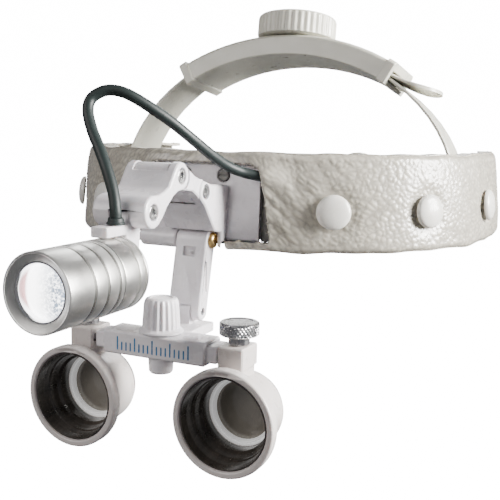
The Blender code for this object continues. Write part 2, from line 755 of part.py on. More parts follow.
# ---------------------------------------------------------------- loupe
def loupe_arm():
    side = arc(ARM_PIVOT, 3.8, -35, 180, 10) + [(-112.9, -38.0)]
    side += arc(TILT_PIVOT, 3.6, 175, 365, 9)
    body = prism("X", side, -ARM_HALF, ARM_HALF, 0.5)
    window = block((-3.1, -120, -22.0), (2.4, -107.6, -18.2))
    nib = block((-0.6, -108.7, -21.0), (0.6, -107.2, -20.0))
    fork = rod("X", (0, *TILT_PIVOT), 4.2, -3.3, 3.3)
    fork_mouth = block((-3.28, -120, -60), (3.28, -100, TILT_PIVOT[1] - 0.13))
    side_slot = block((ARM_HALF - 0.7, -109.2, -36), (ARM_HALF + 1, -107.4, -24))
    holes = [rod("X", (0, *ARM_PIVOT), 1.8, -20, 20, steps=12),
             rod("X", (0, *TILT_PIVOT), 1.5, -20, 20, steps=12)]
    body = cut(body, window, fork, fork_mouth, side_slot, *holes)
    return join(body, nib)


def arm_screw():
    """Brass pivot screw, its slotted head on the +X side."""
    profile = [(0, -19.6), (1.5, -19.6), (1.5, 7.3), (3.1, 7.3), (3.2, 7.7), (2.9, 8.4),
               (2.2, 8.8), (0, 8.9)]
    screw = turned("X", (0, *ARM_PIVOT), profile, 16)
    y, z = ARM_PIVOT
    slot = block((8.3, y - 0.4, z - 4), (10, y + 0.4, z + 4))
    return cut(screw, slot)


def tilt_pin():
    return rod("X", (0, *TILT_PIVOT), 1.2, -6.7, 6.7, 0.2, 14)


def carrier():
    """Foot that tilts on the arm and carries the cross bar."""
    y, z = TILT_PIVOT
    side = arc(TILT_PIVOT, 3.6, 0, 180, 8) + [(y - 3.6, -49.0), (y + 3.6, -49.0)]
    tongue = prism("X", side, -3.0, 3.0, 0.2)
    foot = block((-9.0, BAR_Y[1] + GAP, -52.2), (9.0, -104.5, -48.3), 0.5)
    foot = join(foot, tongue)
    return cut(foot, rod("X", (0, *TILT_PIVOT), 1.5, -20, 20, steps=12))


def cross_bar():
    """Hollow bar that the two slides run in."""
    outer = block((-BAR_HALF, BAR_Y[0], BAR_Z[0]), (BAR_HALF, BAR_Y[1], BAR_Z[1]), 0.7)
    wall = 1.0
    inner = block((-BAR_HALF - 5, BAR_Y[0] + wall, BAR_Z[0] + wall),
                  (BAR_HALF + 5, BAR_Y[1] - wall, BAR_Z[1] - wall))
    shaft_hole = rod("Z", (0, KNOB_Y, 0), 1.9, -60, -40, steps=14)
    return cut(outer, inner, shaft_hole)


def pd_knob():
    """Ribbed knob, its shaft and the pinion between the racks."""
    knob = ribbed_knob("Z", (0, KNOB_Y, 0), 7.2, -46.6, -34.6, 14, 0.45)
    spindle = [(0, -58.8), (1.6, -58.8), (1.6, -47.9), (8.3, -47.9), (8.4, -47.2), (7.5, -45.7),
               (0, -45.7)]
    gear = pinion("Z", (0, KNOB_Y), 2.3, -54.6, -51.0, 0.5, 8)
    return join(knob, turned("Z", (0, KNOB_Y, 0), spindle), gear)


def shaft_cap():
    """Cap under the cross bar that keeps the knob's shaft."""
    profile = [(0, -63.6), (4.0, -63.6), (4.6, -62.8), (4.9, -57.5), (0, -57.5)]
    cap = turned("Z", (0, KNOB_Y, 0), profile, 20)
    return cut(cap, rod("Z", (0, KNOB_Y, 0), 1.9, -59.4, -50, steps=14))


def rack(start, end, low, high):
    """A flat rack with teeth along its high edge, facing the pinion."""
    pitch = 1.5
    count = int((end - start) / pitch)
    end = start + count * pitch
    outline = [(start, low), (start, high)]
    for i in range(count):
        outline.append((start + (i + 0.5) * pitch, high - 0.6))
        outline.append((start + (i + 1) * pitch, high))
    outline.append((end, low))
    return prism("Z", outline, -54.4, -51.2)


def slide(side):
    """Square slide with its rack, and a round tongue for the barrel's block."""
    inset = 1.3
    neck = block((18.0, BAR_Y[0] + inset, BAR_Z[0] + inset),
                 (26.2, BAR_Y[1] - inset, BAR_Z[1] - inset), 0.5)
    neck = join(neck, rack(-9.0, 20.0, BAR_Y[0] + 1.4, KNOB_Y - 2.7))
    outline = [(25.0, KNOB_Y + 3.4), (25.0, KNOB_Y - 3.4)] + arc((SCREW_X, KNOB_Y), 3.4, -90, 90, 8)
    neck = join(neck, prism("Z", outline, -53.7, -51.7))
    neck = cut(neck, rod("Z", (SCREW_X, KNOB_Y, 0), 2.3, -60, -40))
    if side < 0:
        turn = Matrix.Translation((0, KNOB_Y, 0)) @ Matrix.Rotation(math.pi, 4, "Z")
        neck.data.transform(turn @ Matrix.Translation((0, -KNOB_Y, 0)))
    return neck


def barrel_shell(side):
    """Loupe tube with its front flange, and the block that hangs on the slide."""
    x = BARREL_X * side
    outer = [(17.3, BARREL_FRONT), (19.3, BARREL_FRONT), (BARREL_RIM, -142.9), (BARREL_RIM, -139.3),
             (19.2, -138.5), (BARREL_BODY, -138.3), (16.5, -136.0), (14.9, -122.6), (14.4, -120.8),
             (13.6, -120.0)]
    solid = turned("Y", (x, 0, BARREL_Z), [(0, BARREL_FRONT)] + outer + [(0, -120.0)], 28)
    inner, out = sorted((27.0 * side, 37.0 * side))
    hanger = block((inner, BAR_Y[0], -56.8), (out, BAR_Y[1], -48.7), 0.5)
    neck = block((inner + 0.5, BAR_Y[0] + 0.5, -64.0), (out - 0.5, BAR_Y[1] - 1.5, -56.0))
    solid = join(solid, neck, hanger)
    bore = [(0, -150), (17.3, -150), (17.3, -139.0), (15.3, -136.5), (13.4, -124.0), (13.2, -121.8),
            (11.2, -121.6), (11.2, -110), (0, -110)]
    bore = turned("Y", (x, 0, BARREL_Z), bore, 28)
    pocket_in, pocket_out = sorted((25.0 * side, 36.2 * side))
    pocket = block((pocket_in, KNOB_Y - 5.0, -54.1), (pocket_out, KNOB_Y + 5.0, -51.3))
    screw_hole = rod("Z", (SCREW_X * side, KNOB_Y, 0), 2.3, -57.0, -40, steps=14)
    return cut(solid, bore, pocket, screw_hole)


def barrel_liner(side):
    profile = [(16.5, -143.0), (17.0, -143.0), (17.0, -139.3), (15.0, -136.7), (13.75, -128.6),
               (12.9, -128.6), (12.9, -133.6), (13.9, -134.4), (16.5, -139.5)]
    return turned("Y", (BARREL_X * side, 0, BARREL_Z), profile, 24)


def retaining_ring(side):
    profile = [(11.4, -128.2), (13.4, -128.2), (13.4, -126.2), (10.9, -126.2), (10.9, -127.1),
               (11.4, -127.1)]
    return turned("Y", (BARREL_X * side, 0, BARREL_Z), profile, 20)


def objective_lens(side):
    profile = [(0, -127.6), (5.0, -127.3), (9.0, -126.5), (10.5, -125.9), (13.0, -125.9),
               (13.0, -124.6), (0, -124.6)]
    return turned("Y", (BARREL_X * side, 0, BARREL_Z), profile, 20)


def eyepiece_lens(side):
    profile = [(0, -124.2), (12.6, -124.2), (12.6, -122.1), (10.7, -121.9), (6.0, -121.2), (0, -120.8)]
    return turned("Y", (BARREL_X * side, 0, BARREL_Z), profile, 20)


def eyepiece_ring(side):
    profile = [(11.3, -119.7), (13.5, -119.7), (13.2, -118.4), (11.8, -118.4)]
    return turned("Y", (BARREL_X * side, 0, BARREL_Z), profile, 20)


def thumb_screw(side):
    centre = (SCREW_X * side, KNOB_Y, 0)
    head = ribbed_knob("Z", centre, 7.3, -45.0, -40.1, 14, 0.4)
    stem = [(0, -56.4), (2.0, -56.4), (2.0, -48.4), (3.6, -48.4), (3.9, -48.0), (3.9, -44.4),
            (0, -44.4)]
    return join(head, turned("Z", centre, stem, 14))


# ---------------------------------------------------------------- cable
def cable():
    """Round cable from the light over the link and in under the leather."""
    points = smooth_line(CABLE_ROUTE + hidden_route(), 2.6 * 2 * CABLE_RADIUS)
    curve = bpy.data.curves.new("draft", "CURVE")
    curve.dimensions = "3D"
    curve.bevel_depth = CABLE_RADIUS * METRES
    curve.bevel_resolution = 2
    curve.use_fill_caps = True
    spline = curve.splines.new("POLY")
    spline.points.add(len(points) - 1)
    for place, spot in zip(spline.points, points):
        place.co = (*(spot * METRES), 1.0)
    made = bpy.data.objects.new("draft", curve)
    bpy.context.collection.objects.link(made)
    return made


def hidden_route():
    """The stretch in the channel between leather and shell, to the socket."""
    start, end = front_turn(42.0), ring_turn(4.0)
    steps = 14
    return [ring_point(start + (end - start) * i / steps, HIDDEN_DEPTH, 9.0 - i / steps)
            for i in range(steps + 1)]


def cable_socket():
    """Socket for the battery lead under the leather, where the cable ends."""
    end = ring_point(ring_turn(4.0), HIDDEN_DEPTH, 8.0)
    return block((end.x - 2.3, end.y + 0.4, 4.5), (end.x + 1.2, end.y + 12.0, 11.5), 0.5)


# ---------------------------------------------------------------- assembly
def build():
    clear_scene()
    make_bodies()
    piece("leather_cover", "headband", "leather", leather_cover())
    piece("band_shell", "headband", "white plastic", band_shell())
    piece("forehead_pad", "headband", "foam", forehead_pad())
    for i, turn in enumerate(CAP_ANGLES):
        piece(f"snap_cap_left_{i + 1}", "headband", "white plastic", snap_cap(turn))
        piece(f"snap_cap_right_{i + 1}", "headband", "white plastic", snap_cap(-180.0 - turn))
    for name, side in (("left", 1), ("right", -1)):
        piece(f"rear_strap_{name}", "headband", "cream plastic", rear_strap(side))
        piece(f"top_strap_{name}", "headband", "cream plastic", top_strap(side))
    piece("rear_box", "headband", "cream plastic", rear_box())
    piece("rear_knob", "rear_knob", "cream plastic", rear_knob())
    piece("top_box", "headband", "cream plastic", top_box())
    piece("top_knob", "top_knob", "cream plastic", top_knob())
    piece("front_plate", "headband", "white plastic", front_plate())
    piece("plate_screw_left", "headband", "steel", plate_screw(8.6))
    piece("plate_screw_right", "headband", "steel", plate_screw(-8.6))
    piece("bracket", "headband", "white plastic", bracket())
    piece("link_rear", "link_rear", "white plastic", link_rear())
    piece("link_front", "link_front", "white plastic", link_front())
    piece("pin_bracket", "headband", "steel", link_pin(PIN_C, 11.2))
    piece("pin_middle", "link_front", "steel", link_pin(PIN_B, LINK_HALF))
    piece("pin_light", "link_front", "steel", link_pin(PIN_A, LINK_HALF))
    piece("light_holder", "light", "white plastic", light_holder())
    piece("light_head", "light", "aluminium", light_head())
    piece("light_tail", "light", "aluminium", light_tail())
    piece("light_lens", "light", "lit lens", light_lens())
    piece("reflector", "light", "steel", reflector())
    piece("led", "light", "lit lens", led())
    piece("heat_sink", "light", "aluminium", heat_sink())
    piece("cable_gland", "light", "black plastic", cable_gland())
    piece("cable_socket", "headband", "black plastic", cable_socket())
    piece("loupe_arm", "loupe_arm", "white plastic", loupe_arm())
    piece("arm_screw", "headband", "brass", arm_screw())
    piece("tilt_pin", "loupe_arm", "steel", tilt_pin())
    piece("carrier", "carrier", "white plastic", carrier())
    piece("cross_bar", "carrier", "white plastic", cross_bar())
    piece("shaft_cap", "carrier", "white plastic", shaft_cap())
    piece("pd_knob", "pd_knob", "white plastic", pd_knob())
    for name, side in (("left", 1), ("right", -1)):
        piece(f"slide_{name}", f"slide_{name}", "white plastic", slide(side))
        piece(f"barrel_shell_{name}", f"barrel_{name}", "white plastic", barrel_shell(side))
        piece(f"barrel_liner_{name}", f"barrel_{name}", "black plastic", barrel_liner(side))
        piece(f"retaining_ring_{name}", f"barrel_{name}", "white plastic", retaining_ring(side))
        piece(f"objective_lens_{name}", f"barrel_{name}", "glass", objective_lens(side))
        piece(f"eyepiece_lens_{name}", f"barrel_{name}", "glass", eyepiece_lens(side))
        piece(f"eyepiece_ring_{name}", f"barrel_{name}", "white plastic", eyepiece_ring(side))
        piece(f"thumb_screw_{name}", f"thumbscrew_{name}", "steel", thumb_screw(side))
    finish_cable()


def finish_cable():
    """The cable stays a curve, so its material is set here."""
    made = cable()
    made.name = "cable"
    made.data.materials.append(material("cable", "cable"))


build()
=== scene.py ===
"""Looks of the head-worn binocular loupe: cable, leather, cushion, light, barrels and finishes.

Sizes are in millimetres, in the part's frame, and MM turns them into metres.
"""
import json
import math

import bmesh
import bpy
import numpy as np
from mathutils import Matrix, Quaternion, Vector, noise

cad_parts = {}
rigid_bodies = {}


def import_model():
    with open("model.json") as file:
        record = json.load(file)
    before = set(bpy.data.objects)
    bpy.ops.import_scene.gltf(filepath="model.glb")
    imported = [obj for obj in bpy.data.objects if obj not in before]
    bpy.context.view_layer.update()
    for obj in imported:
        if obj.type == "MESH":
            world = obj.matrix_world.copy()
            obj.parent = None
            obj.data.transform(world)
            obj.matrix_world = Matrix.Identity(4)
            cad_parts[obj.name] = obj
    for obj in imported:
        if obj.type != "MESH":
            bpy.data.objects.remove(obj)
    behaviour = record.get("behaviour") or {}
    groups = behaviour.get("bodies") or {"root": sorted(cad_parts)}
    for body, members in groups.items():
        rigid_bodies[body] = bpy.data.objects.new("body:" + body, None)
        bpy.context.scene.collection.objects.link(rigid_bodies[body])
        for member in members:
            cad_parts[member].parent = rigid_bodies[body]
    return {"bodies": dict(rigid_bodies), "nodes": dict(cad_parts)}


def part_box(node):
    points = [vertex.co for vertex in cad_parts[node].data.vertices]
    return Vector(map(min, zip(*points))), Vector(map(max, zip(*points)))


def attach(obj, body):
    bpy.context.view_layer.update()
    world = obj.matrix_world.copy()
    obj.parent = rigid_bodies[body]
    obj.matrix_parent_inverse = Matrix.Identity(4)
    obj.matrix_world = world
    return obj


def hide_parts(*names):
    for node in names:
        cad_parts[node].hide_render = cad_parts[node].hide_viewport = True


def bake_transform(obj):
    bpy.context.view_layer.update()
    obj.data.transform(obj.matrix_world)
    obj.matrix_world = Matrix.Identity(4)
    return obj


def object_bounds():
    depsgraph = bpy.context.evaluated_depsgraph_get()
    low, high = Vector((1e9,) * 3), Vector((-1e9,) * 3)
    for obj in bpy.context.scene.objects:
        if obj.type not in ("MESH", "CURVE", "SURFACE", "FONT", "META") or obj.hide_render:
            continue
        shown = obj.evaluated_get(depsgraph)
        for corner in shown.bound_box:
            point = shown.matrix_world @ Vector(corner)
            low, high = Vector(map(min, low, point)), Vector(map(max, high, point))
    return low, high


for item in list(bpy.data.objects):
    bpy.data.objects.remove(item, do_unlink=True)
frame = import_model()
CAD_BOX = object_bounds()
NODES = frame["nodes"]
MM = 0.001
WELD = 2e-6              # CAD points this close, in metres, are one point
FLAT = 0.6               # CAD faces that meet at less than this, in degrees, are one face
SMOOTH = 35.0            # edges that turn by less than this, in degrees, are shaded smooth
SHARP = 38.0             # edges that turn by more than this, in degrees, are rounded off
WHITE = 16.0             # emission that shows as white behind and below the object

# Camera: where it looks from, in degrees, metres and millimetres of lens
AZIMUTH = 24.72
ELEVATION = 8.45
ROLL = 1.24
DISTANCE = 0.43485
LENS = 59.24
TARGET = Vector((-24.04, 0.0, -35.29)) * MM
FLOOR_DROP = 0.22        # metres from the object down to the floor

# Head ring: a superellipse seen from above, whose lower edge stands out by the flare
BAND_X = 98.9
BAND_Y = 102.0
BAND_POWER = 2.3
BAND_HALF_HEIGHT = 19.2
BAND_FLARE = 1.6
COVER_END = 35.0
LIP = 9.0
LEATHER_GRID = 0.46
LEATHER = 1.5
CROWN = 1.2                              # the leather curves back this much at its edges
EDGE_WAVE = 1.1                          # unevenness of its upper and lower edges
WINDOW = (26.2, 30.4, -16.0, 15.0)       # half-width at the top and bottom, bottom, top
WINDOW_CORNER = 5.5
NOTCH = (-24.6, 12.2)                    # gap in the lower edge, under the bracket
CAP_ANGLES = (-61.0, -35.0, -6.5)
CAP_Z = -3.0
CAP_RADIUS = 6.8
PAD_DEPTHS = (9.7, 15.3)
PAD_HALF_HEIGHT = 14.3
PAD_END = -44.0

CABLE_RADIUS = 2.0
CABLE_ROUTE = [
    (1.6, -162.8, -1.7), (1.5, -162.8, 1.0), (-0.1, -161.7, 6.5), (-3.7, -160.0, 13.6),
    (-7.9, -158.0, 20.1), (-12.5, -156.0, 26.7), (-15.6, -154.0, 32.8), (-16.0, -152.0, 37.0),
    (-13.4, -150.0, 39.6), (-9.8, -148.0, 40.5), (-4.6, -146.0, 39.2), (1.2, -141.0, 35.0),
    (5.8, -135.0, 30.4), (10.1, -128.0, 24.8), (13.9, -119.0, 18.6), (16.2, -111.0, 14.5),
    (19.3, -104.8, 11.9), (23.0, -101.6, 10.7), (27.0, -99.6, 9.9), (31.5, -97.2, 9.4),
    (36.5, -94.2, 9.1),
]


# ---- head ring geometry
def ring_point(turn, depth, z):
    """A point on the head ring: turn in degrees from +X, depth inwards, height."""
    flare = -BAND_FLARE * z / BAND_HALF_HEIGHT
    c = math.cos(math.radians(turn))
    s = math.sin(math.radians(turn))
    power = 2 / BAND_POWER
    return Vector(((BAND_X - depth + flare) * math.copysign(abs(c) ** power, c),
                   (BAND_Y - depth + flare) * math.copysign(abs(s) ** power, s), z))


def ring_turn(y):
    """The turn on the +X side where the ring crosses a given Y."""
    share = min(1.0, abs(y) / BAND_Y) ** (BAND_POWER / 2)
    return math.copysign(math.degrees(math.asin(share)), y)


def front_turn(x):
    """The turn at the front where the ring crosses a given X."""
    share = min(1.0, abs(x) / BAND_X) ** (BAND_POWER / 2)
    turn = math.degrees(math.acos(share))
    return -turn if x >= 0 else turn - 180.0


def even_turns(start, end, spacing):
    """Turns between two angles that lie evenly spaced along the ring."""
    fine = np.linspace(start, end, 1600)
    spots = np.array([ring_point(t, 0, 0)[:2] for t in fine])
    run = np.concatenate([[0.0], np.cumsum(np.linalg.norm(np.diff(spots, axis=0), axis=1))])
    count = int(round(run[-1] / spacing))
    lengths = np.linspace(0, run[-1], count + 1)
    return np.interp(lengths, run, fine), lengths


# ---- camera, light and stage
def make_camera():
    a = math.radians(AZIMUTH)
    e = math.radians(ELEVATION)
    back = Vector((math.sin(a) * math.cos(e), -math.cos(a) * math.cos(e), math.sin(e)))
    camera = bpy.data.objects.new("camera", bpy.data.cameras.new("camera"))
    camera.data.lens = LENS
    camera.data.clip_start = 0.01
    camera.rotation_mode = "QUATERNION"
    camera.location = TARGET + back * DISTANCE
    roll = Quaternion((0, 0, 1), math.radians(ROLL))
    camera.rotation_quaternion = (-back).to_track_quat("-Z", "Y") @ roll
    bpy.context.collection.objects.link(camera)
    bpy.context.scene.camera = camera


def area_light(name, place, aim, size, power, colour=(1.0, 1.0, 1.0)):
    lamp = bpy.data.objects.new(name, bpy.data.lights.new(name, "AREA"))
    lamp.data.shape = "RECTANGLE"
    lamp.data.size, lamp.data.size_y = size
    lamp.data.energy = power
    lamp.data.color = colour
    lamp.location = place
    lamp.rotation_mode = "QUATERNION"
    lamp.rotation_quaternion = (Vector(aim) - Vector(place)).to_track_quat("-Z", "Y")
    bpy.context.collection.objects.link(lamp)


def make_studio():
    """White surroundings, one large key light on the +X side and a weak fill."""
    world = bpy.data.worlds.new("studio")
    world.use_nodes = True
    nodes = world.node_tree.nodes
    shade = nodes["Background"]
    shade.inputs["Color"].default_value = (0.93, 0.93, 1.0, 1.0)
    shade.inputs["Strength"].default_value = 0.21
    white = nodes.new("ShaderNodeBackground")
    white.inputs["Color"].default_value = (1.0, 1.0, 1.0, 1.0)
    white.inputs["Strength"].default_value = WHITE
    path = nodes.new("ShaderNodeLightPath")
    mix = nodes.new("ShaderNodeMixShader")
    links = world.node_tree.links
    links.new(path.outputs["Is Camera Ray"], mix.inputs[0])
    links.new(shade.outputs[0], mix.inputs[1])
    links.new(white.outputs[0], mix.inputs[2])
    links.new(mix.outputs[0], nodes["World Output"].inputs["Surface"])
    bpy.context.scene.world = world
    area_light("key", (0.90, 0.12, 0.28), (0.0, -0.06, 0.0), (0.4, 0.5), 58.0, (1.0, 0.985, 0.97))
    area_light("fill", (-0.45, -0.85, 0.42), (0.0, -0.1, 0.0), (0.7, 0.5), 5.8, (1.0, 0.965, 0.95))
    area_light("back", (-0.25, 0.75, 0.5), (0.0, 0.0, 0.0), (0.6, 0.4), 5.0)


def make_floor():
    """A wide pale floor well below the object, which a head would carry."""
    bm = bmesh.new()
    bmesh.ops.create_grid(bm, x_segments=1, y_segments=1, size=6.0)
    mesh = bpy.data.meshes.new("floor")
    bm.to_mesh(mesh)
    bm.free()
    floor = bpy.data.objects.new("floor", mesh)
    floor.location = (0.0, 0.0, CAD_BOX[0].z - FLOOR_DROP)
    pale = Finish("pale_floor", (0.93, 0.93, 0.93), 0.9)
    pale.shader.inputs["Emission Color"].default_value = (1.0, 1.0, 1.0, 1.0)
    pale.shader.inputs["Emission Strength"].default_value = WHITE
    mesh.materials.append(pale.material)
    bpy.context.collection.objects.link(floor)
    floor.visible_diffuse = False
    floor.visible_glossy = False


# ---- materials
class Finish:
    """A material being built: its node tree, its shader and short ways to add nodes."""

    def __init__(self, name, colour, roughness, metallic=0.0):
        self.material = bpy.data.materials.new(name)
        self.material.use_nodes = True
        self.tree = self.material.node_tree
        self.shader = self.tree.nodes["Principled BSDF"]
        self.colour = colour
        self.roughness = roughness
        self.set("Base Color", (*colour, 1.0))
        self.set("Roughness", roughness)
        self.set("Metallic", metallic)

    def set(self, socket, value):
        self.shader.inputs[socket].default_value = value

    def node(self, kind, **settings):
        made = self.tree.nodes.new("ShaderNode" + kind)
        for key, value in settings.items():
            setattr(made, key, value)
        return made

    def link(self, source, target):
        self.tree.links.new(source, target)

    def place(self, stretch=(1.0, 1.0, 1.0)):
        """Object coordinates, which are metres in the part's frame, stretched."""
        coords = self.node("TexCoord")
        mapping = self.node("Mapping")
        mapping.inputs["Scale"].default_value = stretch
        self.link(coords.outputs["Object"], mapping.inputs["Vector"])
        return mapping.outputs["Vector"]

    def noise(self, scale, detail=3.0, rough=0.55, stretch=(1.0, 1.0, 1.0)):
        made = self.node("TexNoise")
        made.inputs["Scale"].default_value = scale
        made.inputs["Detail"].default_value = detail
        made.inputs["Roughness"].default_value = rough
        self.link(self.place(stretch), made.inputs["Vector"])
        return made.outputs["Fac"]

    def cells(self, scale):
        made = self.node("TexVoronoi", feature="DISTANCE_TO_EDGE")
        made.inputs["Scale"].default_value = scale
        self.link(self.place(), made.inputs["Vector"])
        return made.outputs["Distance"]

    def span(self, source, low, high, start=0.35, end=0.65):
        """Stretch a texture's middle values over a range."""
        made = self.node("MapRange")
        made.inputs["From Min"].default_value = start
        made.inputs["From Max"].default_value = end
        made.inputs["To Min"].default_value = low
        made.inputs["To Max"].default_value = high
        self.link(source, made.inputs["Value"])
        return made.outputs["Result"]

    def blend_colours(self, share, first, second):
        made = self.node("Mix", data_type="RGBA")
        self.link(share, made.inputs["Factor"])
        for socket, colour in ((made.inputs[6], first), (made.inputs[7], second)):
            if isinstance(colour, tuple):
                socket.default_value = (*colour, 1.0)
            else:
                self.link(colour, socket)
        return made.outputs[2]

    def tint(self, share, other):
        """Vary the base colour towards another one by a texture."""
        before = self.shader.inputs["Base Color"].links
        first = before[0].from_socket if before else self.colour
        self.link(self.blend_colours(share, first, other), self.shader.inputs["Base Color"])

    def stain(self, scale, detail, most, other):
        """Cloudy patches of another colour."""
        self.tint(self.span(self.noise(scale, detail), 0.0, most), other)

    def vary_roughness(self, source, amount):
        self.link(self.span(source, self.roughness - amount, self.roughness + amount),
                  self.shader.inputs["Roughness"])

    def bump(self, height, distance, strength=1.0):
        """Add a bump, in millimetres, on top of those already there."""
        made = self.node("Bump")
        made.inputs["Strength"].default_value = strength
        made.inputs["Distance"].default_value = distance * MM
        self.link(height, made.inputs["Height"])
        before = self.shader.inputs["Normal"].links
        if before:
            self.link(before[0].from_socket, made.inputs["Normal"])
        self.link(made.outputs["Normal"], self.shader.inputs["Normal"])


def moulded(name, colour, roughness, shade, sheen):
    """Injection-moulded plastic: slight clouding, uneven gloss and a fine texture."""
    made = Finish(name, colour, roughness)
    made.set("Subsurface Weight", 0.12)
    made.set("Subsurface Radius", (0.004, 0.003, 0.0025))
    made.set("Subsurface Scale", 0.4)
    made.set("Coat Weight", sheen)
    made.set("Coat Roughness", 0.12)
    made.stain(38.0, 4.0, 0.55, shade)
    made.tint(made.span(made.noise(900.0, 2.0), 0.0, 0.25, 0.62, 0.75), shade)
    made.vary_roughness(made.noise(210.0, 5.0), 0.09)
    made.bump(made.noise(1500.0, 2.0), 0.012)
    made.bump(made.noise(120.0, 2.0), 0.05)
    return made.material


def turned_metal(name, colour, roughness, stretch, streak=0.02):
    """Lathe-turned metal: fine rings across the turning axis, stains and uneven gloss."""
    made = Finish(name, colour, roughness, 1.0)
    made.set("Anisotropic", 0.35)
    rings = made.noise(260.0, 6.0, 0.7, stretch)
    made.tint(made.span(rings, 0.0, 0.30), tuple(c * 0.80 for c in colour))
    made.stain(40.0, 3.0, 0.2, tuple(c * 0.88 for c in colour))
    made.vary_roughness(made.noise(60.0, 3.0), 0.05)
    made.bump(rings, streak)
    return made.material


def plated_steel(name, colour=(0.50, 0.50, 0.50), roughness=0.28):
    made = Finish(name, colour, roughness, 1.0)
    made.stain(200.0, 3.0, 0.3, tuple(c * 0.75 for c in colour))
    made.vary_roughness(made.noise(250.0, 3.0), 0.05)
    made.bump(made.noise(2500.0, 3.0), 0.01)
    return made.material


def leather_finish():
    """Off-white pebbled leather, with painted shade in the valleys of its grain, and a finer grain on top."""
    made = Finish("grained_leather", (0.50, 0.466, 0.378), 0.36)
    made.set("Coat Weight", 0.75)
    made.set("Coat Roughness", 0.27)
    made.set("Subsurface Weight", 0.05)
    made.set("Subsurface Radius", (0.003, 0.002, 0.0015))
    grain = made.node("Attribute", attribute_name="grain")
    # painted shade: the colour darkens towards (0.25, 0.23, 0.19) in the grain's valleys
    made.tint(made.span(grain.outputs["Fac"], 1.0, 0.0, 0.1, 0.8), (0.25, 0.23, 0.19))
    made.stain(26.0, 3.0, 0.4, (0.46, 0.435, 0.375))
    made.vary_roughness(made.noise(300.0, 3.0), 0.06)
    made.bump(made.cells(1300.0), 0.03, 0.5)
    made.bump(made.noise(2600.0, 2.0), 0.012, 0.5)
    return made.material


def cloth_finish():
    """Dark grey knitted cover of the forehead cushion."""
    made = Finish("cushion_cloth", (0.19, 0.19, 0.195), 0.9)
    made.set("Sheen Weight", 0.35)
    made.set("Sheen Roughness", 0.5)
    weave = made.node("TexWave", wave_type="BANDS", bands_direction="DIAGONAL")
    weave.inputs["Scale"].default_value = 420.0
    weave.inputs["Distortion"].default_value = 1.2
    made.link(made.place(), weave.inputs["Vector"])
    made.tint(made.span(weave.outputs["Fac"], 0.0, 0.6, 0.0, 1.0), (0.09, 0.09, 0.095))
    made.stain(60.0, 4.0, 0.35, (0.26, 0.26, 0.26))
    made.bump(weave.outputs["Fac"], 0.18)
    made.bump(made.cells(900.0), 0.12)
    return made.material


# A matt sheet coloured to paint the shade in a gap round the front plate.
def shade_sheet_finish(name, colour, fleck):
    made = Finish(name, colour, 0.95)
    made.set("Sheen Weight", 0.3)
    made.stain(700.0, 4.0, 0.6, fleck)
    made.bump(made.noise(1500.0, 4.0), 0.15)
    return made.material


def thread_finish():
    made = Finish("grey_thread", (0.34, 0.34, 0.34), 0.7)
    made.stain(1200.0, 3.0, 0.5, (0.2, 0.2, 0.2))
    made.bump(made.noise(3000.0, 2.0, 0.5, (1.0, 1.0, 3.0)), 0.05)
    return made.material


def rubber_finish():
    """Satin cable jacket."""
    made = Finish("cable_jacket", (0.010, 0.016, 0.015), 0.50)
    made.set("Specular IOR Level", 0.35)
    made.stain(30.0, 3.0, 0.4, (0.018, 0.026, 0.025))
    made.vary_roughness(made.noise(80.0, 3.0), 0.05)
    made.bump(made.noise(900.0, 2.0), 0.008)
    return made.material


def gloss_black():
    """Glossy black tube liner, with painted highlights in faint bands along the tube."""
    made = Finish("gloss_black", (0.020, 0.017, 0.014), 0.20)
    made.set("Specular IOR Level", 0.7)
    highlight_streaks = made.noise(110.0, 3.0, 0.6, (1.0, 0.06, 1.0))
    # painted highlight: lighter colour along the streak pattern
    made.tint(made.span(highlight_streaks, 0.0, 0.8), (0.085, 0.070, 0.058))
    made.vary_roughness(made.noise(60.0, 3.0), 0.06)
    made.bump(highlight_streaks, 0.05)
    return made.material


def bright_white():
    """The white ring round each front lens, with a faint emission that paints a glow of light from behind the
    lens.
    """
    made = Finish("white_ring_painted_glow", (0.88, 0.88, 0.87), 0.25)
    # painted glow: the ring emits light though it is no lamp
    made.shader.inputs["Emission Color"].default_value = (1.0, 1.0, 0.99, 1.0)
    made.set("Emission Strength", 0.30)
    made.stain(90.0, 3.0, 0.4, (0.70, 0.69, 0.67))
    made.bump(made.noise(400.0, 2.0), 0.01)
    return made.material


def coated_glass():
    """Front lens: brown-grey from the tube behind it, with a strong polish."""
    made = Finish("coated_glass", (0.34, 0.315, 0.285), 0.07)
    made.set("Coat Weight", 1.0)
    made.set("Coat Roughness", 0.03)
    made.set("Coat Tint", (0.95, 0.94, 0.90, 1.0))
    made.stain(38.0, 2.0, 0.9, (0.20, 0.18, 0.155))
    made.vary_roughness(made.noise(60.0, 2.0), 0.02)
    return made.material


def lit_lens_finish():
    """Collimator lens over the working LED: white, with blue speckles towards one side."""
    made = Finish("lit_lens", (0.90, 0.93, 1.0), 0.12)
    made.set("Coat Weight", 0.5)
    place = made.node("SeparateXYZ")
    made.link(made.place(), place.inputs["Vector"])
    right = made.span(place.outputs["X"], 0.0, 1.0, -0.003, 0.004)
    speckle = made.node("Math", operation="MULTIPLY")
    made.link(right, speckle.inputs[0])
    made.link(made.span(made.noise(900.0, 4.0, 0.8), 0.0, 1.0, 0.36, 0.54), speckle.inputs[1])
    glow = made.blend_colours(speckle.outputs[0], (1.0, 1.0, 1.0), (0.028, 0.052, 0.085))
    left = made.span(place.outputs["X"], 0.9, 0.0, -0.0077, -0.0058)
    glow = made.blend_colours(left, glow, (0.22, 0.07, 0.07))
    made.link(glow, made.shader.inputs["Emission Color"])
    made.set("Emission Strength", 7.0)
    made.bump(made.cells(700.0), 0.1)
    return made.material


def ink_finish():
    """Blue printed scale."""
    made = Finish("blue_ink", (0.012, 0.115, 0.29), 0.45)
    made.stain(1400.0, 3.0, 0.5, (0.03, 0.20, 0.40))
    made.bump(made.noise(2000.0, 2.0), 0.01)
    return made.material


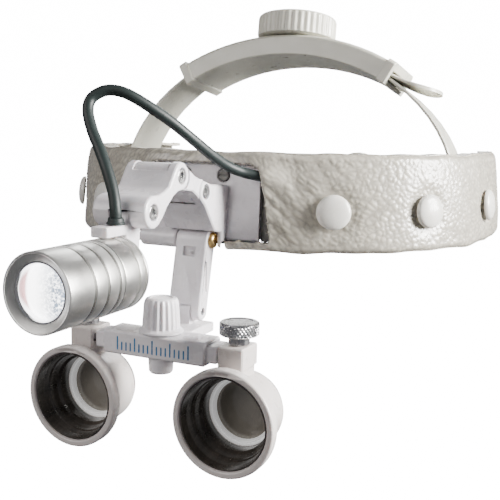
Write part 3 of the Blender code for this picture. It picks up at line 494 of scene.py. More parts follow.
def make_finishes():
    brushed = (0.02, 9.0, 0.02)
    return {
        "white": moulded("white_plastic_moulding", (0.78, 0.755, 0.775), 0.30, (0.66, 0.63, 0.64), 0.35),
        "cream": moulded("cream_plastic_moulding", (0.62, 0.61, 0.525), 0.36, (0.53, 0.52, 0.435), 0.2),
        # painted shade: a warmer copy of the white plastic, darkened to paint the shade on the barrels' front
        # rims
        "barrel": moulded("barrel_plastic_painted_shade", (0.64, 0.595, 0.565), 0.32, (0.54, 0.49, 0.46), 0.3),
        "cap": moulded("cap_plastic_moulding", (0.74, 0.725, 0.67), 0.28, (0.64, 0.62, 0.56), 0.3),
        "leather": leather_finish(),
        "cloth": cloth_finish(),
        # painted shade: dark and grey sheets in the gaps round the front plate
        "shade_dark": shade_sheet_finish("dark_painted_shade", (0.045, 0.045, 0.047), (0.10, 0.10, 0.10)),
        "shade_grey": shade_sheet_finish("grey_painted_shade", (0.27, 0.26, 0.245), (0.35, 0.34, 0.32)),
        "thread": thread_finish(),
        "aluminium": turned_metal("turned_aluminium", (0.74, 0.735, 0.70), 0.36, brushed),
        # painted shade: a darker copy of the turned aluminium, for the recess before the lens
        "recess": turned_metal("recess_aluminium_painted_shade", (0.50, 0.50, 0.48), 0.45, brushed),
        # painted shade: the darkest aluminium, for the groove floors and the plate screws' recesses
        "groove_shade": turned_metal("groove_shade_aluminium", (0.16, 0.16, 0.15), 0.5, brushed),
        "chrome": plated_steel("chrome_ring", (0.80, 0.80, 0.80), 0.10),
        "steel": plated_steel("plated_steel"),
        "brass": plated_steel("turned_brass", (0.62, 0.43, 0.18), 0.28),
        "rubber": rubber_finish(),
        "black": gloss_black(),
        "bright": bright_white(),
        "glass": coated_glass(),
        "lit": lit_lens_finish(),
        "ink": ink_finish(),
    }


# ---- building pieces
def body_of(node):
    """The body that a CAD node rides on."""
    return next(n for n, empty in frame["bodies"].items() if NODES[node].parent is empty)


def mesh_object(name, bm, finish, smooth=SMOOTH, metres=False):
    """A finished bmesh, drawn in millimetres, as an object in metres."""
    bmesh.ops.remove_doubles(bm, verts=bm.verts, dist=1e-7 if metres else 1e-4)
    bmesh.ops.recalc_face_normals(bm, faces=bm.faces)
    mesh = bpy.data.meshes.new(name)
    bm.to_mesh(mesh)
    bm.free()
    if not metres:
        mesh.transform(Matrix.Scale(MM, 4))
    made = bpy.data.objects.new(name, mesh)
    bpy.context.collection.objects.link(made)
    mesh.materials.append(FINISHES[finish])
    mesh.shade_smooth()
    mesh.set_sharp_from_angle(angle=math.radians(smooth))
    return made


def settle(piece, body, slot, *nodes):
    """Hang a finished piece on its body, in place of the CAD nodes that it stands for."""
    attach(piece, body)
    if nodes:
        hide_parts(*nodes)
    return piece


def bevel(piece, width):
    """Round off a piece's sharp edges."""
    rounding = piece.modifiers.new("rounding", "BEVEL")
    rounding.width = width * MM
    rounding.segments = 2
    rounding.limit_method = "ANGLE"
    rounding.angle_limit = math.radians(SHARP)
    rounding.harden_normals = False
    rounding.miter_outer = "MITER_ARC"


def refine(node, finish, slot, width):
    """A welded copy of a CAD node with rounded edges, which stands for that node."""
    bm = bmesh.new()
    bm.from_mesh(NODES[node].data)
    bmesh.ops.remove_doubles(bm, verts=bm.verts, dist=WELD)
    bmesh.ops.dissolve_degenerate(bm, edges=bm.edges, dist=WELD)
    bmesh.ops.dissolve_limit(bm, angle_limit=math.radians(FLAT), verts=bm.verts, edges=bm.edges)
    made = mesh_object(node + "_finished", bm, finish, SHARP, metres=True)
    bevel(made, width)
    return settle(made, body_of(node), slot, node)


def turned(axis, centre, profile, steps=96):
    """A bmesh turned from (radius, position) points about an axis through the centre."""
    frames = {"Y": ((0, 0, 1), (1, 0, 0), (0, 1, 0)),
              "Z": ((1, 0, 0), (0, 1, 0), (0, 0, 1))}
    across, side, along = [Vector(v) for v in frames[axis]]
    bm = bmesh.new()
    rings = []
    for radius, level in profile:
        middle = Vector(centre) + along * level
        if radius < 1e-6:
            rings.append([bm.verts.new(middle)])
            continue
        turns = [2 * math.pi * i / steps for i in range(steps)]
        rings.append([bm.verts.new(middle + across * radius * math.cos(t) + side * radius * math.sin(t))
                      for t in turns])
    pairs = list(zip(rings, rings[1:]))
    if len(rings[0]) > 1 and len(rings[-1]) > 1:
        pairs.append((rings[-1], rings[0]))
    for first, second in pairs:
        for i in range(steps):
            corners = [first[i % len(first)], first[(i + 1) % len(first)],
                       second[(i + 1) % len(second)], second[i % len(second)]]
            unique = list(dict.fromkeys(corners))
            if len(unique) > 2:
                bm.faces.new(unique)
    return bm


def rounded(profile, radius, steps=3):
    """The same profile with its inner corners rounded off."""
    spots = [Vector(p) for p in profile]
    made = [spots[0]]
    for before, here, after in zip(spots, spots[1:], spots[2:]):
        to_before = before - here
        to_after = after - here
        reach = min(radius, to_before.length * 0.45, to_after.length * 0.45)
        start = here + to_before.normalized() * reach
        end = here + to_after.normalized() * reach
        for i in range(steps + 1):
            t = i / steps
            made.append(start * (1 - t) ** 2 + here * 2 * t * (1 - t) + end * t ** 2)
    made.append(spots[-1])
    return [tuple(p) for p in made]


def smooth_line(points, count):
    """Catmull-Rom curve through route points, with a number of points for each stretch."""
    route = [Vector(p) for p in points]
    route = [route[0] * 2 - route[1]] + route + [route[-1] * 2 - route[-2]]
    line = []
    for a, b, c, d in zip(route, route[1:], route[2:], route[3:]):
        for k in range(count):
            t = k / count
            line.append(0.5 * (2 * b + (c - a) * t + (2 * a - 5 * b + 4 * c - d) * t ** 2
                               + (3 * b - a - 3 * c + d) * t ** 3))
    line.append(route[-2])
    return line


def skin(bm, rings, caps=(True, True)):
    """Faces between closed rings of points, and over the first and last ring."""
    for first, second in zip(rings, rings[1:]):
        for k in range(len(first)):
            j = (k + 1) % len(first)
            bm.faces.new((first[k], first[j], second[j], second[k]))
    if caps[0]:
        bm.faces.new(list(reversed(rings[0])))
    if caps[1]:
        bm.faces.new(rings[-1])


def tube(line, radius, steps=20, caps=(True, True)):
    """A round tube along a line, without twist."""
    bm = bmesh.new()
    rings = []
    side = None
    for i, spot in enumerate(line):
        tangent = (line[min(i + 1, len(line) - 1)] - line[max(i - 1, 0)]).normalized()
        if side is None:
            side = tangent.orthogonal().normalized()
        side = (side - tangent * side.dot(tangent)).normalized()
        other = tangent.cross(side)
        turns = [2 * math.pi * k / steps for k in range(steps)]
        rings.append([bm.verts.new(spot + (side * math.cos(t) + other * math.sin(t)) * radius)
                      for t in turns])
    skin(bm, rings, caps)
    return bm


# ---- cable
def hidden_route():
    """The stretch between leather and shell, to the socket."""
    start, end = front_turn(42.0), ring_turn(4.0)
    steps = 14
    return [ring_point(start + (end - start) * i / steps, 4.6, 9.0 - 1.0 * i / steps)
            for i in range(steps + 1)]


def make_cables():
    """The cable in three lengths along one route."""
    line = smooth_line([Vector(p) for p in CABLE_ROUTE] + hidden_route(), 5)
    stretches = (
        ("cable_at_light", 0, 30, "light", "link_front", "bare", (0, 0, 0), (0, 0, 32)),
        ("cable_over_link", 30, 58, "link_front", "link_rear", "bare", (0, -153.5, 0), (0, -139, 0)),
        ("cable_to_headband", 58, len(line) - 1, "link_rear", "headband", "object",
         (0, -137, 0), (0, -112, 0)),
    )
    for name, first, last, near, far, far_end, bend_start, bend_end in stretches:
        stretch = line[first:last + 1]
        bm = tube(stretch, CABLE_RADIUS, caps=(far == "link_front", far == "headband"))
        piece = mesh_object(name, bm, "rubber")
        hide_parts("cable")
        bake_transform(piece)


# ---- leather cover
def cover_section():
    """(depth, height) points of the leather's outer face, from the lower lip to the upper."""
    h = BAND_HALF_HEIGHT
    r = 2.4
    lower = [(LIP - i * (LIP - r) / 7, -h) for i in range(8)]
    turn = [(r - r * math.sin(a), -h + r - r * math.cos(a)) for a in np.linspace(0, math.pi / 2, 7)[1:-1]]
    count = int(round((2 * h - 2 * r) / LEATHER_GRID))
    face = [(0.0, -h + r + i * (2 * h - 2 * r) / count) for i in range(count + 1)]
    upper = [(d, -z) for d, z in reversed(lower + turn)]
    return lower + turn + face + upper


def window_distance(x, z):
    """How far a front point lies outside the window; negative inside."""
    top, bottom, low, high = WINDOW
    slant = (bottom - top) / (high - low)
    centre_z = (low + high) / 2
    half_z = (high - low) / 2
    half_x = top + (high - z) * slant
    dx = (abs(x) - half_x) / math.hypot(1.0, slant)
    dz = abs(z - centre_z) - half_z
    corner = WINDOW_CORNER if z > centre_z else 1.0
    outside = math.hypot(max(dx + corner, 0.0), max(dz + corner, 0.0)) - corner
    return min(max(dx, dz), 0.0) if outside < -corner + 1e-9 else outside


def notch_distance(x, z):
    """How far a point lies outside the notch in the lower edge; negative inside."""
    low, high = NOTCH
    return max(low - x, x - high, z - WINDOW[2] - 1.5)


def pebbles(run, z, lean, along, across):
    """Height of a pebbled grain, 0 in the valleys to 1, stretched along a slanted line."""
    c, s = math.cos(lean), math.sin(lean)
    wander = noise.noise(Vector((run * 0.10, z * 0.10, 3.0))) * 0.5
    spot = Vector(((run * c + z * s) / along + wander, (z * c - run * s) / across + wander, 0.0))
    near = noise.voronoi(spot)[0]
    return min(1.0, (near[1] - near[0]) * 1.5) ** 0.6


def leather_relief(run, z, front_run, caps):
    """Outward height of the leather and its grain: creases by the window, dimples, pebbles."""
    away = abs(run) - front_run
    near_window = math.exp(-(max(away, 0.0) / 26.0) ** 2)
    round_grain = pebbles(abs(run), z, -0.35, 2.7, 1.8)
    long_grain = pebbles(abs(run), z, -0.75, 4.6, 1.7)
    grain = round_grain + (long_grain - round_grain) * near_window
    across = abs(run) * 0.72 + z * 0.69
    along = abs(run) * 0.69 - z * 0.72
    crease = abs(noise.noise(Vector((across * 0.17, along * 0.022, 7.0)))) * 2.0 - 0.5
    soft = noise.noise(Vector((run * 0.035, z * 0.05, 1.0)))
    relief = 0.33 * (grain - 0.6) + 0.75 * crease * near_window + 0.6 * soft
    for cap_run in caps:
        reach = math.hypot(run - cap_run, z - CAP_Z)
        relief -= 0.9 * math.exp(-((reach - CAP_RADIUS) / 3.4) ** 2) if reach > CAP_RADIUS else 0.9
    fold = min(1.0, max(0.0, (BAND_HALF_HEIGHT - abs(z)) / 3.0))
    return relief * (0.25 + 0.75 * fold), grain


def window_lift(x, z):
    """Outward lift at the window: a raised edge, and a swelling where the cable goes in."""
    edge = 1.0 * math.exp(-max(0.0, window_distance(x, z)) / 5.0)
    cable = 3.4 * math.exp(-((x - 26.0) / 9.5) ** 2 - ((z - 9.6) / 6.0) ** 2)
    return edge + cable


def leather_cover():
    turns, lengths = even_turns(-180.0 - ring_turn(COVER_END), ring_turn(COVER_END), LEATHER_GRID)
    section = cover_section()
    middle = np.interp(-90.0, turns, lengths)
    window_run = np.interp(front_turn(WINDOW[0]), turns, lengths) - middle
    caps = [sign * (np.interp(t, turns, lengths) - middle) for t in CAP_ANGLES for sign in (1, -1)]
    bm = bmesh.new()
    grains = bm.verts.layers.float.new("grain")
    rings = []
    last = len(turns) - 1
    for i, turn in enumerate(turns):
        run = lengths[i] - middle
        from_end = min(i, last - i)
        tuck = 1.8 * (1.0 - math.sin(min(1.0, from_end / 3.0) * math.pi / 2))
        ring = []
        for depth, z in section:
            relief, grain = (0.0, 0.8)
            if depth < 2.0:
                relief, grain = leather_relief(run, z, window_run, caps)
                relief -= CROWN * (z / BAND_HALF_HEIGHT) ** 2
                relief += window_lift(ring_point(turn, 0, z).x, z) if abs(turn + 90) < 60 else 0.0
            inward = max(depth, tuck) - relief
            wave = EDGE_WAVE * noise.noise(Vector((run * 0.06, 2.0, 4.0)))
            wave *= (abs(z) / BAND_HALF_HEIGHT) ** 4
            vert = bm.verts.new(ring_point(turn, inward, z + wave))
            vert[grains] = grain
            ring.append(vert)
        rings.append(ring)
    for first, second in zip(rings, rings[1:]):
        for a, b, c, d in zip(first, first[1:], second[1:], second):
            bm.faces.new((a, b, c, d))
    open_window(bm)
    cover = mesh_object("leather_cover_grained", bm, "leather", 180.0)
    thickness = cover.modifiers.new("thickness", "SOLIDIFY")
    thickness.thickness = LEATHER * MM
    thickness.offset = -1.0
    return settle(cover, "headband", "leather", "leather_cover")


def open_window(bm):
    """Cut the window and the notch out of the leather and draw their edges clean."""
    gone = []
    for face in bm.faces:
        spot = face.calc_center_median()
        if spot.y > -70:
            continue
        if window_distance(spot.x, spot.z) < 0 or notch_distance(spot.x, spot.z) < 0:
            gone.append(face)
    bmesh.ops.delete(bm, geom=gone, context="FACES")
    step = 0.05
    for vert in [v for v in bm.verts if v.is_boundary and v.co.y < -70 and abs(v.co.x) < 40] * 2:
        for distance in (window_distance, notch_distance):
            x, z = vert.co.x, vert.co.z
            away = distance(x, z)
            if abs(away) < 0.9:
                slope = Vector((distance(x + step, z) - away, 0.0, distance(x, z + step) - away))
                if slope.length > 1e-6:
                    vert.co -= slope.normalized() * away
    loose = [v for v in bm.verts if not v.link_faces]
    bmesh.ops.delete(bm, geom=loose, context="VERTS")


def window_shade_sheets():
    """Dark and grey sheets under and beside the plate, which paint the shade in the gaps round it."""
    shade_strip("window_shade_below", "shade_dark", -35.0, 35.0, (2.2, 7.0), (-17.3, -16.2))
    shade_strip("window_shade_left", "shade_grey", 25.6, 35.0, (6.1, 7.0), (-16.1, 14.0))
    shade_strip("window_shade_right", "shade_grey", -35.0, -25.6, (6.1, 7.0), (-16.1, 14.0))


def shade_strip(name, finish, start, end, depths, heights):
    """A sheet along the ring between two X places, with a rough upper edge, which paints the shade in a gap.
    """
    turns, lengths = even_turns(front_turn(start), front_turn(end), 1.0)
    bm = bmesh.new()
    rings = []
    for turn, run in zip(turns, lengths):
        top = heights[1] + 0.12 * noise.noise(Vector((run * 0.8, 0.0, 0.0)))
        section = [(depths[0], heights[0]), (depths[1], heights[0]), (depths[1], top), (depths[0], top)]
        rings.append([bm.verts.new(ring_point(turn, d, z)) for d, z in section])
    skin(bm, rings)
    strip = mesh_object(name, bm, finish, 30.0)
    bevel(strip, 0.2)
    settle(strip, "headband", "foam")


def snap_cap(turn, name):
    """Domed press-stud cap with a thin skirt, on the leather."""
    r = CAP_RADIUS
    dome = [(0, 3.0)] + [(r * 0.97 * math.sin(a), 1.1 + 1.9 * math.cos(a))
                         for a in np.linspace(0.15, math.pi / 2, 9)]
    dome += [(r, 0.9), (r, 0.3), (r - 0.5, 0.1), (0, 0.1)]
    bm = turned("Z", (0, 0, 0), dome, 64)
    here = ring_point(turn, 0, CAP_Z)
    tangent = ring_point(turn + 1, 0, CAP_Z) - ring_point(turn - 1, 0, CAP_Z)
    rise = ring_point(turn, 0, CAP_Z + 1) - ring_point(turn, 0, CAP_Z - 1)
    facing = tangent.cross(rise).normalized().to_track_quat("Z", "Y").to_matrix().to_4x4()
    bmesh.ops.transform(bm, matrix=Matrix.Translation(here) @ facing, verts=bm.verts)
    settle(mesh_object(name + "_domed", bm, "cap", 50.0), "headband", "white_plastic", name)


def forehead_pad():
    """Foam cushion in cloth: crowned between sewn channels, with rounded ends."""
    end = ring_turn(PAD_END)
    turns, lengths = even_turns(-180.0 - end, end, 1.2)
    channel = 24.0
    front, back = PAD_DEPTHS
    middle = (front + back) / 2
    half = (back - front) / 2
    round_steps = 28
    bm = bmesh.new()
    rings = []
    total = lengths[-1]
    for turn, run in zip(turns, lengths):
        from_end = min(run, total - run)
        taper = math.sqrt(max(0.0, 1 - (1 - min(1.0, from_end / 7.0)) ** 2))
        phase = ((run - total / 2) / channel) % 1.0
        seam = math.exp(-(min(phase, 1 - phase) * channel / 1.7) ** 2)
        ring = []
        for k in range(round_steps):
            a = 2 * math.pi * k / round_steps
            c, t = math.cos(a), math.sin(a)
            across = math.copysign(abs(c) ** 0.7, c) * half
            up = math.copysign(abs(t) ** 0.45, t) * PAD_HALF_HEIGHT
            lump = noise.noise(Vector((run * 0.09, up * 0.12, 5.0))) * 0.35
            squeeze = (1 - 0.45 * seam) * (0.25 + 0.75 * taper)
            inner = 1.0 if across > 0 else 0.35
            depth = middle + across * (1 - (1 - squeeze) * inner) + lump * inner * abs(c)
            ring.append(bm.verts.new(ring_point(turn, depth, up * (0.55 + 0.45 * taper))))
        rings.append(ring)
    skin(bm, rings)
    pad = mesh_object("forehead_pad_sewn", bm, "cloth", 60.0)
    settle(pad, "headband", "foam", "forehead_pad")
    for sign in (-1, 1):
        sew_line(turns, lengths, sign)


def sew_line(turns, lengths, sign):
    """A row of stitches along the pad's upper or lower edge, on the wearer's side."""
    bm = bmesh.new()
    pitch = 4.0
    z = sign * (PAD_HALF_HEIGHT - 2.8)
    total = lengths[-1]
    count = int((total - 16.0) / pitch)
    for i in range(count):
        start = 8.0 + i * pitch
        spots = []
        for share in (0.0, 0.25, 0.5, 0.75):
            turn = np.interp(start + share * pitch, lengths, turns)
            rise = 0.25 * math.sin(share / 0.75 * math.pi)
            spots.append(ring_point(turn, PAD_DEPTHS[1] - 0.35 + rise, z))
        add(bm, tube(spots, 0.32, 8))
    stitches = mesh_object("pad_stitches_" + ("lower" if sign < 0 else "upper"), bm, "thread")
    settle(stitches, "headband", "foam")


def add(bm, other):
    """Copy another bmesh into this one and free it."""
    mesh = bpy.data.meshes.new("part")
    other.to_mesh(mesh)
    other.free()
    bm.from_mesh(mesh)
    bpy.data.meshes.remove(mesh)
    return bm


def block(low, high):
    bm = bmesh.new()
    bmesh.ops.create_cube(bm, size=1.0)
    for vert in bm.verts:
        vert.co = Vector([(a + b) / 2 + (b - a) * t for a, b, t in zip(low, high, vert.co)])
    return bm


def prism(outline, low, high):
    """A (y, z) outline extruded along X."""
    bm = bmesh.new()
    near = [bm.verts.new((low, y, z)) for y, z in outline]
    far = [bm.verts.new((high, y, z)) for y, z in outline]
    bm.faces.new(near)
    bm.faces.new(list(reversed(far)))
    for i in range(len(outline)):
        j = (i + 1) % len(outline)
        bm.faces.new((near[j], near[i], far[i], far[j]))
    return bm


# ---- headlight
LIGHT_GROOVES = (12.6, 19.5, 25.8)       # distances behind the front of the tube
LIGHT_BORE = 10.4
TUBE_STEPS = 128
LENS_STEPS = 96


def grooves(radius, places, depth, width):
    """Square grooves on a tube's side, as profile points."""
    made = []
    for at in places:
        made += [(radius, at - width / 2 - 0.12), (radius - 0.12, at - width / 2),
                 (radius - depth, at - width / 2 + 0.08), (radius - depth, at + width / 2 - 0.08),
                 (radius - 0.12, at + width / 2), (radius, at + width / 2 + 0.12)]
    return made


def shifted(profile, by):
    """The same (radius, position) points moved along the axis."""
    return [(radius, level + by) for radius, level in profile]


def lathe(name, centre, profile, steps, finish, smooth, body, slot, *nodes):
    """A piece turned along Y, settled on its body."""
    piece = mesh_object(name, turned("Y", centre, profile, steps), finish, smooth)
    settle(piece, body, slot, *nodes)


def light_head(centre, radius, front, joint):
    """The front tube, and dark rings on the floors of its grooves, which paint the shade in them."""
    places = [front + at for at in LIGHT_GROOVES]
    outer = [(radius - 0.45, front), (radius, front + 0.45)]
    outer += grooves(radius, places, 0.75, 1.3)
    outer += [(radius, joint - 0.3), (radius - 0.3, joint)]
    inner = [(LIGHT_BORE, joint), (LIGHT_BORE, front + 5.3), (11.0, front + 3.6),
             (radius - 0.75, front + 0.25)]
    lathe("light_head_turned", centre, rounded(outer + inner, 0.12, 2), TUBE_STEPS, "aluminium", 28.0,
          "light", "aluminium", "light_head")
    # painted shade: dark rings on the groove floors, and one at the joint with the tail
    for number, at in enumerate(places + [joint + 0.15]):
        ring = [(radius - 1.1, at - 0.6), (radius - 0.16, at - 0.6), (radius - 0.16, at + 0.6),
                (radius - 1.1, at + 0.6)]
        lathe(f"light_groove_shade_{number + 1}", centre, rounded(ring, 0.1), TUBE_STEPS, "groove_shade", SMOOTH,
              "light", "aluminium")


def light_front(centre, radius, front):
    """The recess before the lens and the plated ring round the lens."""
    cone = shifted([(radius - 0.8, 0.4), (9.75, 1.7), (9.4, 2.1), (9.4, 4.9), (10.25, 4.9),
                    (10.85, 3.6), (radius - 0.8, 0.6)], front)
    # the recess's darker aluminium paints the shade in it
    lathe("light_recess", centre, cone, TUBE_STEPS, "recess", 28.0, "light", "aluminium")
    ring = shifted([(9.35, 2.0), (9.37, 4.3), (8.65, 4.6), (8.55, 2.7), (8.95, 2.0)], front)
    lathe("light_bezel", centre, rounded(ring, 0.15), TUBE_STEPS, "chrome", 40.0, "light", "steel")


def light_tail(centre, radius):
    start, rear = [corner.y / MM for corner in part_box("light_tail")]
    tail = [(0, rear - 3.2), (LIGHT_BORE, rear - 3.2), (LIGHT_BORE, start), (radius - 0.3, start),
            (radius, start + 0.3)]
    tail += grooves(radius, (rear - 5.8, rear - 2.0), 0.7, 1.0)
    tail += [(radius, rear - 0.5), (radius - 0.5, rear), (4.0, rear), (3.4, rear - 0.4), (0, rear - 0.4)]
    lathe("light_tail_turned", centre, rounded(tail, 0.12, 2), TUBE_STEPS, "aluminium", 28.0,
          "light", "aluminium", "light_tail")


def light_lens(centre, front):
    dome = [(0, front + 2.9)]
    dome += [(8.7 * math.sin(a), front + 5.8 - 2.9 * math.cos(a)) for a in np.linspace(0.12, 1.25, 12)]
    dome += shifted([(8.6, 5.2), (10.0, 5.6), (10.0, 7.4), (0, 7.4)], front)
    lathe("light_lens_domed", centre, dome, LENS_STEPS, "lit", 40.0, "light", "lit_lens", "light_lens")


def cable_gland():
    """The collar that the cable leaves the light's holder through."""
    collar = [(0, -4.1), (3.1, -4.1), (3.1, -3.5), (2.75, -3.2), (2.6, -2.0), (2.45, -1.9),
              (2.3, -1.8), (2.2, -2.3), (0, -2.3)]
    x, y, _ = CABLE_ROUTE[0]
    gland = mesh_object("cable_gland_turned", turned("Z", (x, y, 0), rounded(collar, 0.15), 48), "rubber")
    settle(gland, "light", "black_plastic", "cable_gland")


def headlight():
    low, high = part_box("light_head")
    front, joint = low.y / MM, high.y / MM
    radius = (high.x - low.x) / 2 / MM
    centre = ((low.x + high.x) / 2 / MM, 0.0, (low.z + high.z) / 2 / MM)
    light_head(centre, radius, front, joint)
    light_front(centre, radius, front)
    light_tail(centre, radius)
    light_lens(centre, front)
    cable_gland()


# ---- loupe barrels
# Profiles of (radius, distance behind the front rim)
BARREL_SHELL = [
    (17.35, 0.35), (17.75, 0), (19.35, 0), (19.85, 0.5), (19.85, 3.9), (19.35, 4.7), (17.4, 4.95),
    (16.85, 5.4), (16.5, 7.5), (15.6, 14.5), (14.9, 20.9), (14.45, 22.6), (13.6, 23.4), (11.3, 23.4),
    (11.3, 21.9), (13.3, 21.7), (13.5, 19.0), (15.3, 7.0), (17.1, 4.6), (17.1, 1.0),
]
BARREL_LINER = [
    (16.95, 0.7), (17.05, 4.4), (15.2, 6.9), (13.75, 16.5), (13.3, 16.5), (13.35, 11.4), (14.3, 10.2),
    (15.4, 7.2), (16.2, 4.2), (16.55, 0.7),
]
RETAINING_RING = [
    (13.2, 16.7), (13.2, 18.7), (11.15, 18.7), (11.15, 18.0), (11.5, 17.1), (11.9, 16.85),
    (12.3, 17.3), (12.75, 16.8),
]
EYEPIECE_RING = [(11.35, 23.8), (13.5, 23.8), (13.35, 24.8), (13.0, 25.1), (11.9, 25.1), (11.45, 24.5)]
LENS_EDGE = 10.7
OBJECTIVE = [(r, 17.4 + 1.4 * (r / LENS_EDGE) ** 2) for r in np.linspace(0.0, LENS_EDGE, 14)]
OBJECTIVE += [(12.9, 18.9), (12.9, 20.2), (0, 20.2)]
EYEPIECE = [(0, 20.5), (12.6, 20.5), (12.6, 21.5)]
EYEPIECE += [(r, 21.6 + 1.1 * (1 - (r / LENS_EDGE) ** 2)) for r in np.linspace(LENS_EDGE, 0.0, 10)]

# Node, word in the piece's name, profile, rounding, steps, finish, smoothing angle, slot
BARREL_PARTS = (
    ("barrel_liner", "turned", BARREL_LINER, 0.2, TUBE_STEPS, "black", SMOOTH, "black_plastic"),
    ("retaining_ring", "turned", RETAINING_RING, 0.12, LENS_STEPS, "bright", SMOOTH, "white_plastic"),
    ("objective_lens", "ground", OBJECTIVE, 0, LENS_STEPS, "glass", 30.0, "glass"),
    ("eyepiece_lens", "ground", EYEPIECE, 0, LENS_STEPS, "glass", 30.0, "glass"),
    ("eyepiece_ring", "turned", EYEPIECE_RING, 0.2, LENS_STEPS, "black", SMOOTH, "white_plastic"),
)


def barrel_hanger(name):
    """The CAD block over a barrel, cut off at its neck, in millimetres."""
    bm = bmesh.new()
    bm.from_mesh(NODES["barrel_shell_" + name].data)
    bmesh.ops.remove_doubles(bm, verts=bm.verts, dist=WELD)
    cut = bmesh.ops.bisect_plane(bm, geom=bm.verts[:] + bm.edges[:] + bm.faces[:],
                                 plane_co=(0, 0, -57.3 * MM), plane_no=(0, 0, -1), clear_outer=True)
    edges = [e for e in cut["geom_cut"] if isinstance(e, bmesh.types.BMEdge)]
    bmesh.ops.holes_fill(bm, edges=edges)
    bmesh.ops.dissolve_limit(bm, angle_limit=math.radians(FLAT), verts=bm.verts, edges=bm.edges)
    bmesh.ops.scale(bm, vec=(1 / MM,) * 3, verts=bm.verts)
    return bm


def barrel(name, side):
    low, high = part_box("barrel_liner_" + name)
    centre = ((low.x + high.x) / 2 / MM, 0.0, (low.z + high.z) / 2 / MM)
    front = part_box("barrel_shell_" + name)[0].y / MM
    body = "barrel_" + name
    bm = turned("Y", centre, rounded(shifted(BARREL_SHELL, front), 0.35), TUBE_STEPS)
    left, right = sorted((27.5 * side, 36.5 * side))
    neck = prism([(-136.5, -57.25), (-136.5, -58.95), (-125.5, -60.75), (-125.5, -57.25)], left, right)
    add(add(bm, barrel_hanger(name)), neck)
    # the barrel finish is darkened to paint the shade on the front rims
    shell = mesh_object("barrel_shell_turned_" + name, bm, "barrel", 30.0)
    settle(shell, body, "white_plastic", "barrel_shell_" + name)
    for node, word, profile, rounding, steps, finish, smooth, slot in BARREL_PARTS:
        profile = shifted(profile, front)
        if rounding:
            profile = rounded(profile, rounding)
        lathe(f"{node}_{word}_{name}", centre, profile, steps, finish, smooth, body, slot,
              f"{node}_{name}")


# ---- knobs
ARCH_Y = -13.0
ARCH_LEAN = 8.0          # degrees that the arch and its knob lean back
KNOB_Y = -130.5
SCREW_X = 32.5
KNURL_TEETH = 34
KNURL_DEPTH = 0.38


def ribbed(axis, centre, profile, ribs, depth, ribbed_from, ribbed_to):
    """A turned shape whose side is cut into upright ribs between two levels."""
    bm = turned(axis, centre, profile, ribs * 8)
    along = {"Y": 1, "Z": 2}[axis]
    others = [k for k in range(3) if k != along]
    widest = max(r for r, level in profile if ribbed_from <= level <= ribbed_to)
    for vert in bm.verts:
        level = vert.co[along] - centre[along]
        if not ribbed_from - 1e-4 <= level <= ribbed_to + 1e-4:
            continue
        a = vert.co[others[0]] - centre[others[0]]
        b = vert.co[others[1]] - centre[others[1]]
        radius = math.hypot(a, b)
        if radius < widest * 0.82:
            continue
        wave = abs(math.cos(math.atan2(b, a) * ribs / 2)) ** 2.0
        share = (radius - depth * (1 - wave)) / radius
        vert.co[others[0]] = centre[others[0]] + a * share
        vert.co[others[1]] = centre[others[1]] + b * share
    return bm


def gear(axis, centre, radius, low, high, teeth):
    profile = [(0, low), (radius, low), (radius, high), (0, high)]
    return ribbed(axis, centre, profile, teeth, radius * 0.3, low, high)


def knob_profile(radius, low, high):
    """A knob's side and softly domed top, with a shallow ring on its face."""
    return [(0, low), (radius * 0.92, low), (radius * 0.985, low + 0.5), (radius, low + 1.3),
            (radius, (low + high) / 2), (radius, high - 2.1), (radius * 0.985, high - 1.2),
            (radius * 0.95, high - 0.55), (radius * 0.88, high - 0.1), (radius * 0.80, high),
            (radius * 0.74, high - 0.05), (radius * 0.72, high - 0.4), (radius * 0.68, high - 0.4),
            (radius * 0.66, high - 0.02), (radius * 0.3, high + 0.22), (0, high + 0.28)]


def knobs():
    """Both ratchet knobs, the pupil-distance knob and the two knurled thumb screws."""
    top = ribbed("Z", (0, 0, 0), knob_profile(19.25, 72.3, 83.4), 40, 0.55, 73.0, 81.5)
    add(top, turned("Z", (0, 0, 0), [(0, 68.7), (4.4, 68.7), (4.4, 73.0), (0, 73.0)], 48))
    add(top, gear("Z", (0, 0, 0), 2.8, 64.2, 68.8, 6))
    lean = Matrix.Translation((0, ARCH_Y, 0)) @ Matrix.Rotation(math.radians(-ARCH_LEAN), 4, "X")
    bmesh.ops.transform(top, matrix=lean, verts=top.verts)
    settle(mesh_object("top_knob_ribbed", top, "cream", 40.0), "top_knob", "cream_plastic", "top_knob")

    rear = ribbed("Y", (0, 0, 0), knob_profile(14.95, BAND_Y - 0.3, BAND_Y + 9.6), 32, 0.5,
                  BAND_Y + 0.5, BAND_Y + 8.2)
    shaft = [(0, BAND_Y - 4.5), (4.3, BAND_Y - 4.5), (4.3, BAND_Y), (0, BAND_Y)]
    add(rear, turned("Y", (0, 0, 0), shaft, 48))
    add(rear, gear("Y", (0, 0, 0), 2.8, BAND_Y - 8.9, BAND_Y - 4.3, 6))
    settle(mesh_object("rear_knob_ribbed", rear, "cream", 40.0), "rear_knob", "cream_plastic", "rear_knob")

    profile = [(0, -58.6), (1.6, -58.6), (1.6, -47.9), (8.1, -47.9), (8.4, -47.5), (8.3, -47.0), (7.6, -46.5),
               (7.2, -46.0), (7.1, -44.0), (6.8, -40.0), (6.6, -36.9), (6.3, -35.8), (5.8, -35.1),
               (5.0, -34.7), (4.3, -34.75), (4.0, -35.1), (0, -35.0)]
    dial = ribbed("Z", (0, KNOB_Y, 0), profile, 20, 0.55, -46.1, -35.4)
    add(dial, gear("Z", (0, KNOB_Y, 0), 2.3, -54.5, -51.1, 8))
    settle(mesh_object("pd_knob_ribbed", dial, "white", 40.0), "pd_knob", "white_plastic", "pd_knob")

    for name, side in (("left", 1), ("right", -1)):
        thumb_screw(name, SCREW_X * side, KNOB_Y)


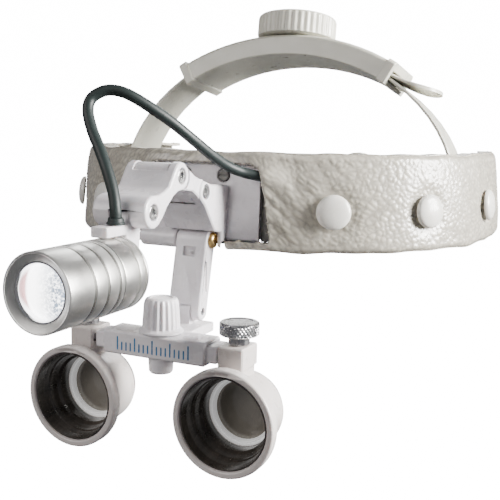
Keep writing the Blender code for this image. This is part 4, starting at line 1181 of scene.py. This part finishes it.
def thumb_screw(name, x, y):
    """Steel screw whose head is cut in a diamond knurl."""
    low, high, radius = -45.0, -40.1, 7.25
    rows = 14
    profile = [(0, low), (radius - 0.6, low), (radius - 0.1, low + 0.35)]
    profile += [(radius, low + 0.5 + i * (high - low - 1.0) / rows) for i in range(rows + 1)]
    profile += [(radius - 0.1, high - 0.35), (radius - 0.6, high), (radius - 1.6, high),
                (radius - 1.9, high - 0.25), (0, high - 0.25)]
    bm = turned("Z", (x, y, 0), profile, 200)
    pitch = 2 * math.pi * radius / KNURL_TEETH
    for vert in bm.verts:
        a, b = vert.co.x - x, vert.co.y - y
        reach = math.hypot(a, b)
        if reach < radius - 0.02:
            continue
        turn = math.atan2(b, a) * KNURL_TEETH
        rise = (vert.co.z - low) / pitch * 2 * math.pi * 0.75
        ridge = min(abs(math.sin((turn + rise) / 2)), abs(math.sin((turn - rise) / 2)))
        share = 1 - KNURL_DEPTH * (1 - min(1.0, ridge * 1.6)) / radius
        vert.co.x, vert.co.y = x + a * share, y + b * share
    stem = [(0, -56.3), (1.9, -56.3), (2.0, -56.0), (2.0, -48.4), (3.6, -48.4), (3.85, -48.1), (3.85, -45.7),
            (3.5, -45.4), (3.5, -44.9), (0, -44.9)]
    add(bm, turned("Z", (x, y, 0), stem, 48))
    piece = mesh_object("thumb_screw_knurled_" + name, bm, "steel", 30.0)
    settle(piece, "thumbscrew_" + name, "steel", "thumb_screw_" + name)


def bar_scale():
    """A row of blue graduation marks along the front of the cross bar."""
    low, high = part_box("cross_bar")
    face = low.y / MM
    middle = (low.z + high.z) / 2 / MM
    bm = bmesh.new()
    for i in range(-8, 9):
        half = 2.6 if i % 4 == 0 else 1.6
        x = i * 1.9
        base = middle - 2.6
        add(bm, block((x - 0.28, face - 0.05, base), (x + 0.28, face + 0.02, base + 2 * half)))
    marks = mesh_object("bar_scale_marks", bm, "ink")
    settle(marks, "carrier", "white_plastic")


# Finish, slot, width of the rounded edges, nodes
REFINED = (
    ("white", "white_plastic", 0.3, ("band_shell", "front_plate", "bracket")),
    ("white", "white_plastic", 0.35, ("link_rear",)),
    ("white", "white_plastic", 0.4, ("link_front",)),
    ("white", "white_plastic", 0.3, ("light_holder", "loupe_arm", "carrier", "cross_bar")),
    ("white", "white_plastic", 0.2, ("shaft_cap", "slide_left", "slide_right")),
    ("cream", "cream_plastic", 0.2, ("rear_strap_left", "rear_strap_right", "top_strap_left",
                                     "top_strap_right")),
    ("cream", "cream_plastic", 0.4, ("rear_box", "top_box")),
    # painted shade: the plate screws take the dark groove finish, for the shade in their recesses
    ("groove_shade", "steel", 0.1, ("plate_screw_left", "plate_screw_right")),
    ("steel", "steel", 0.1, ("pin_bracket", "pin_middle", "pin_light", "tilt_pin")),
    ("brass", "brass", 0.12, ("arm_screw",)),
)
# CAD nodes that are shown as they are
KEPT = (("reflector", "chrome"), ("led", "lit"), ("heat_sink", "aluminium"), ("cable_socket", "black"))

FINISHES = {}
make_camera()
FINISHES.update(make_finishes())
make_cables()
make_studio()
make_floor()
leather_cover()
window_shade_sheets()
forehead_pad()
for number, angle in enumerate(CAP_ANGLES):
    snap_cap(angle, f"snap_cap_left_{number + 1}")
    snap_cap(-180.0 - angle, f"snap_cap_right_{number + 1}")
headlight()
barrel("left", 1)
barrel("right", -1)
knobs()
bar_scale()
for finish, slot, width, names in REFINED:
    for node in names:
        refine(node, finish, slot, width)
for node, finish in KEPT:
    NODES[node].material_slots[0].material = FINISHES[finish]
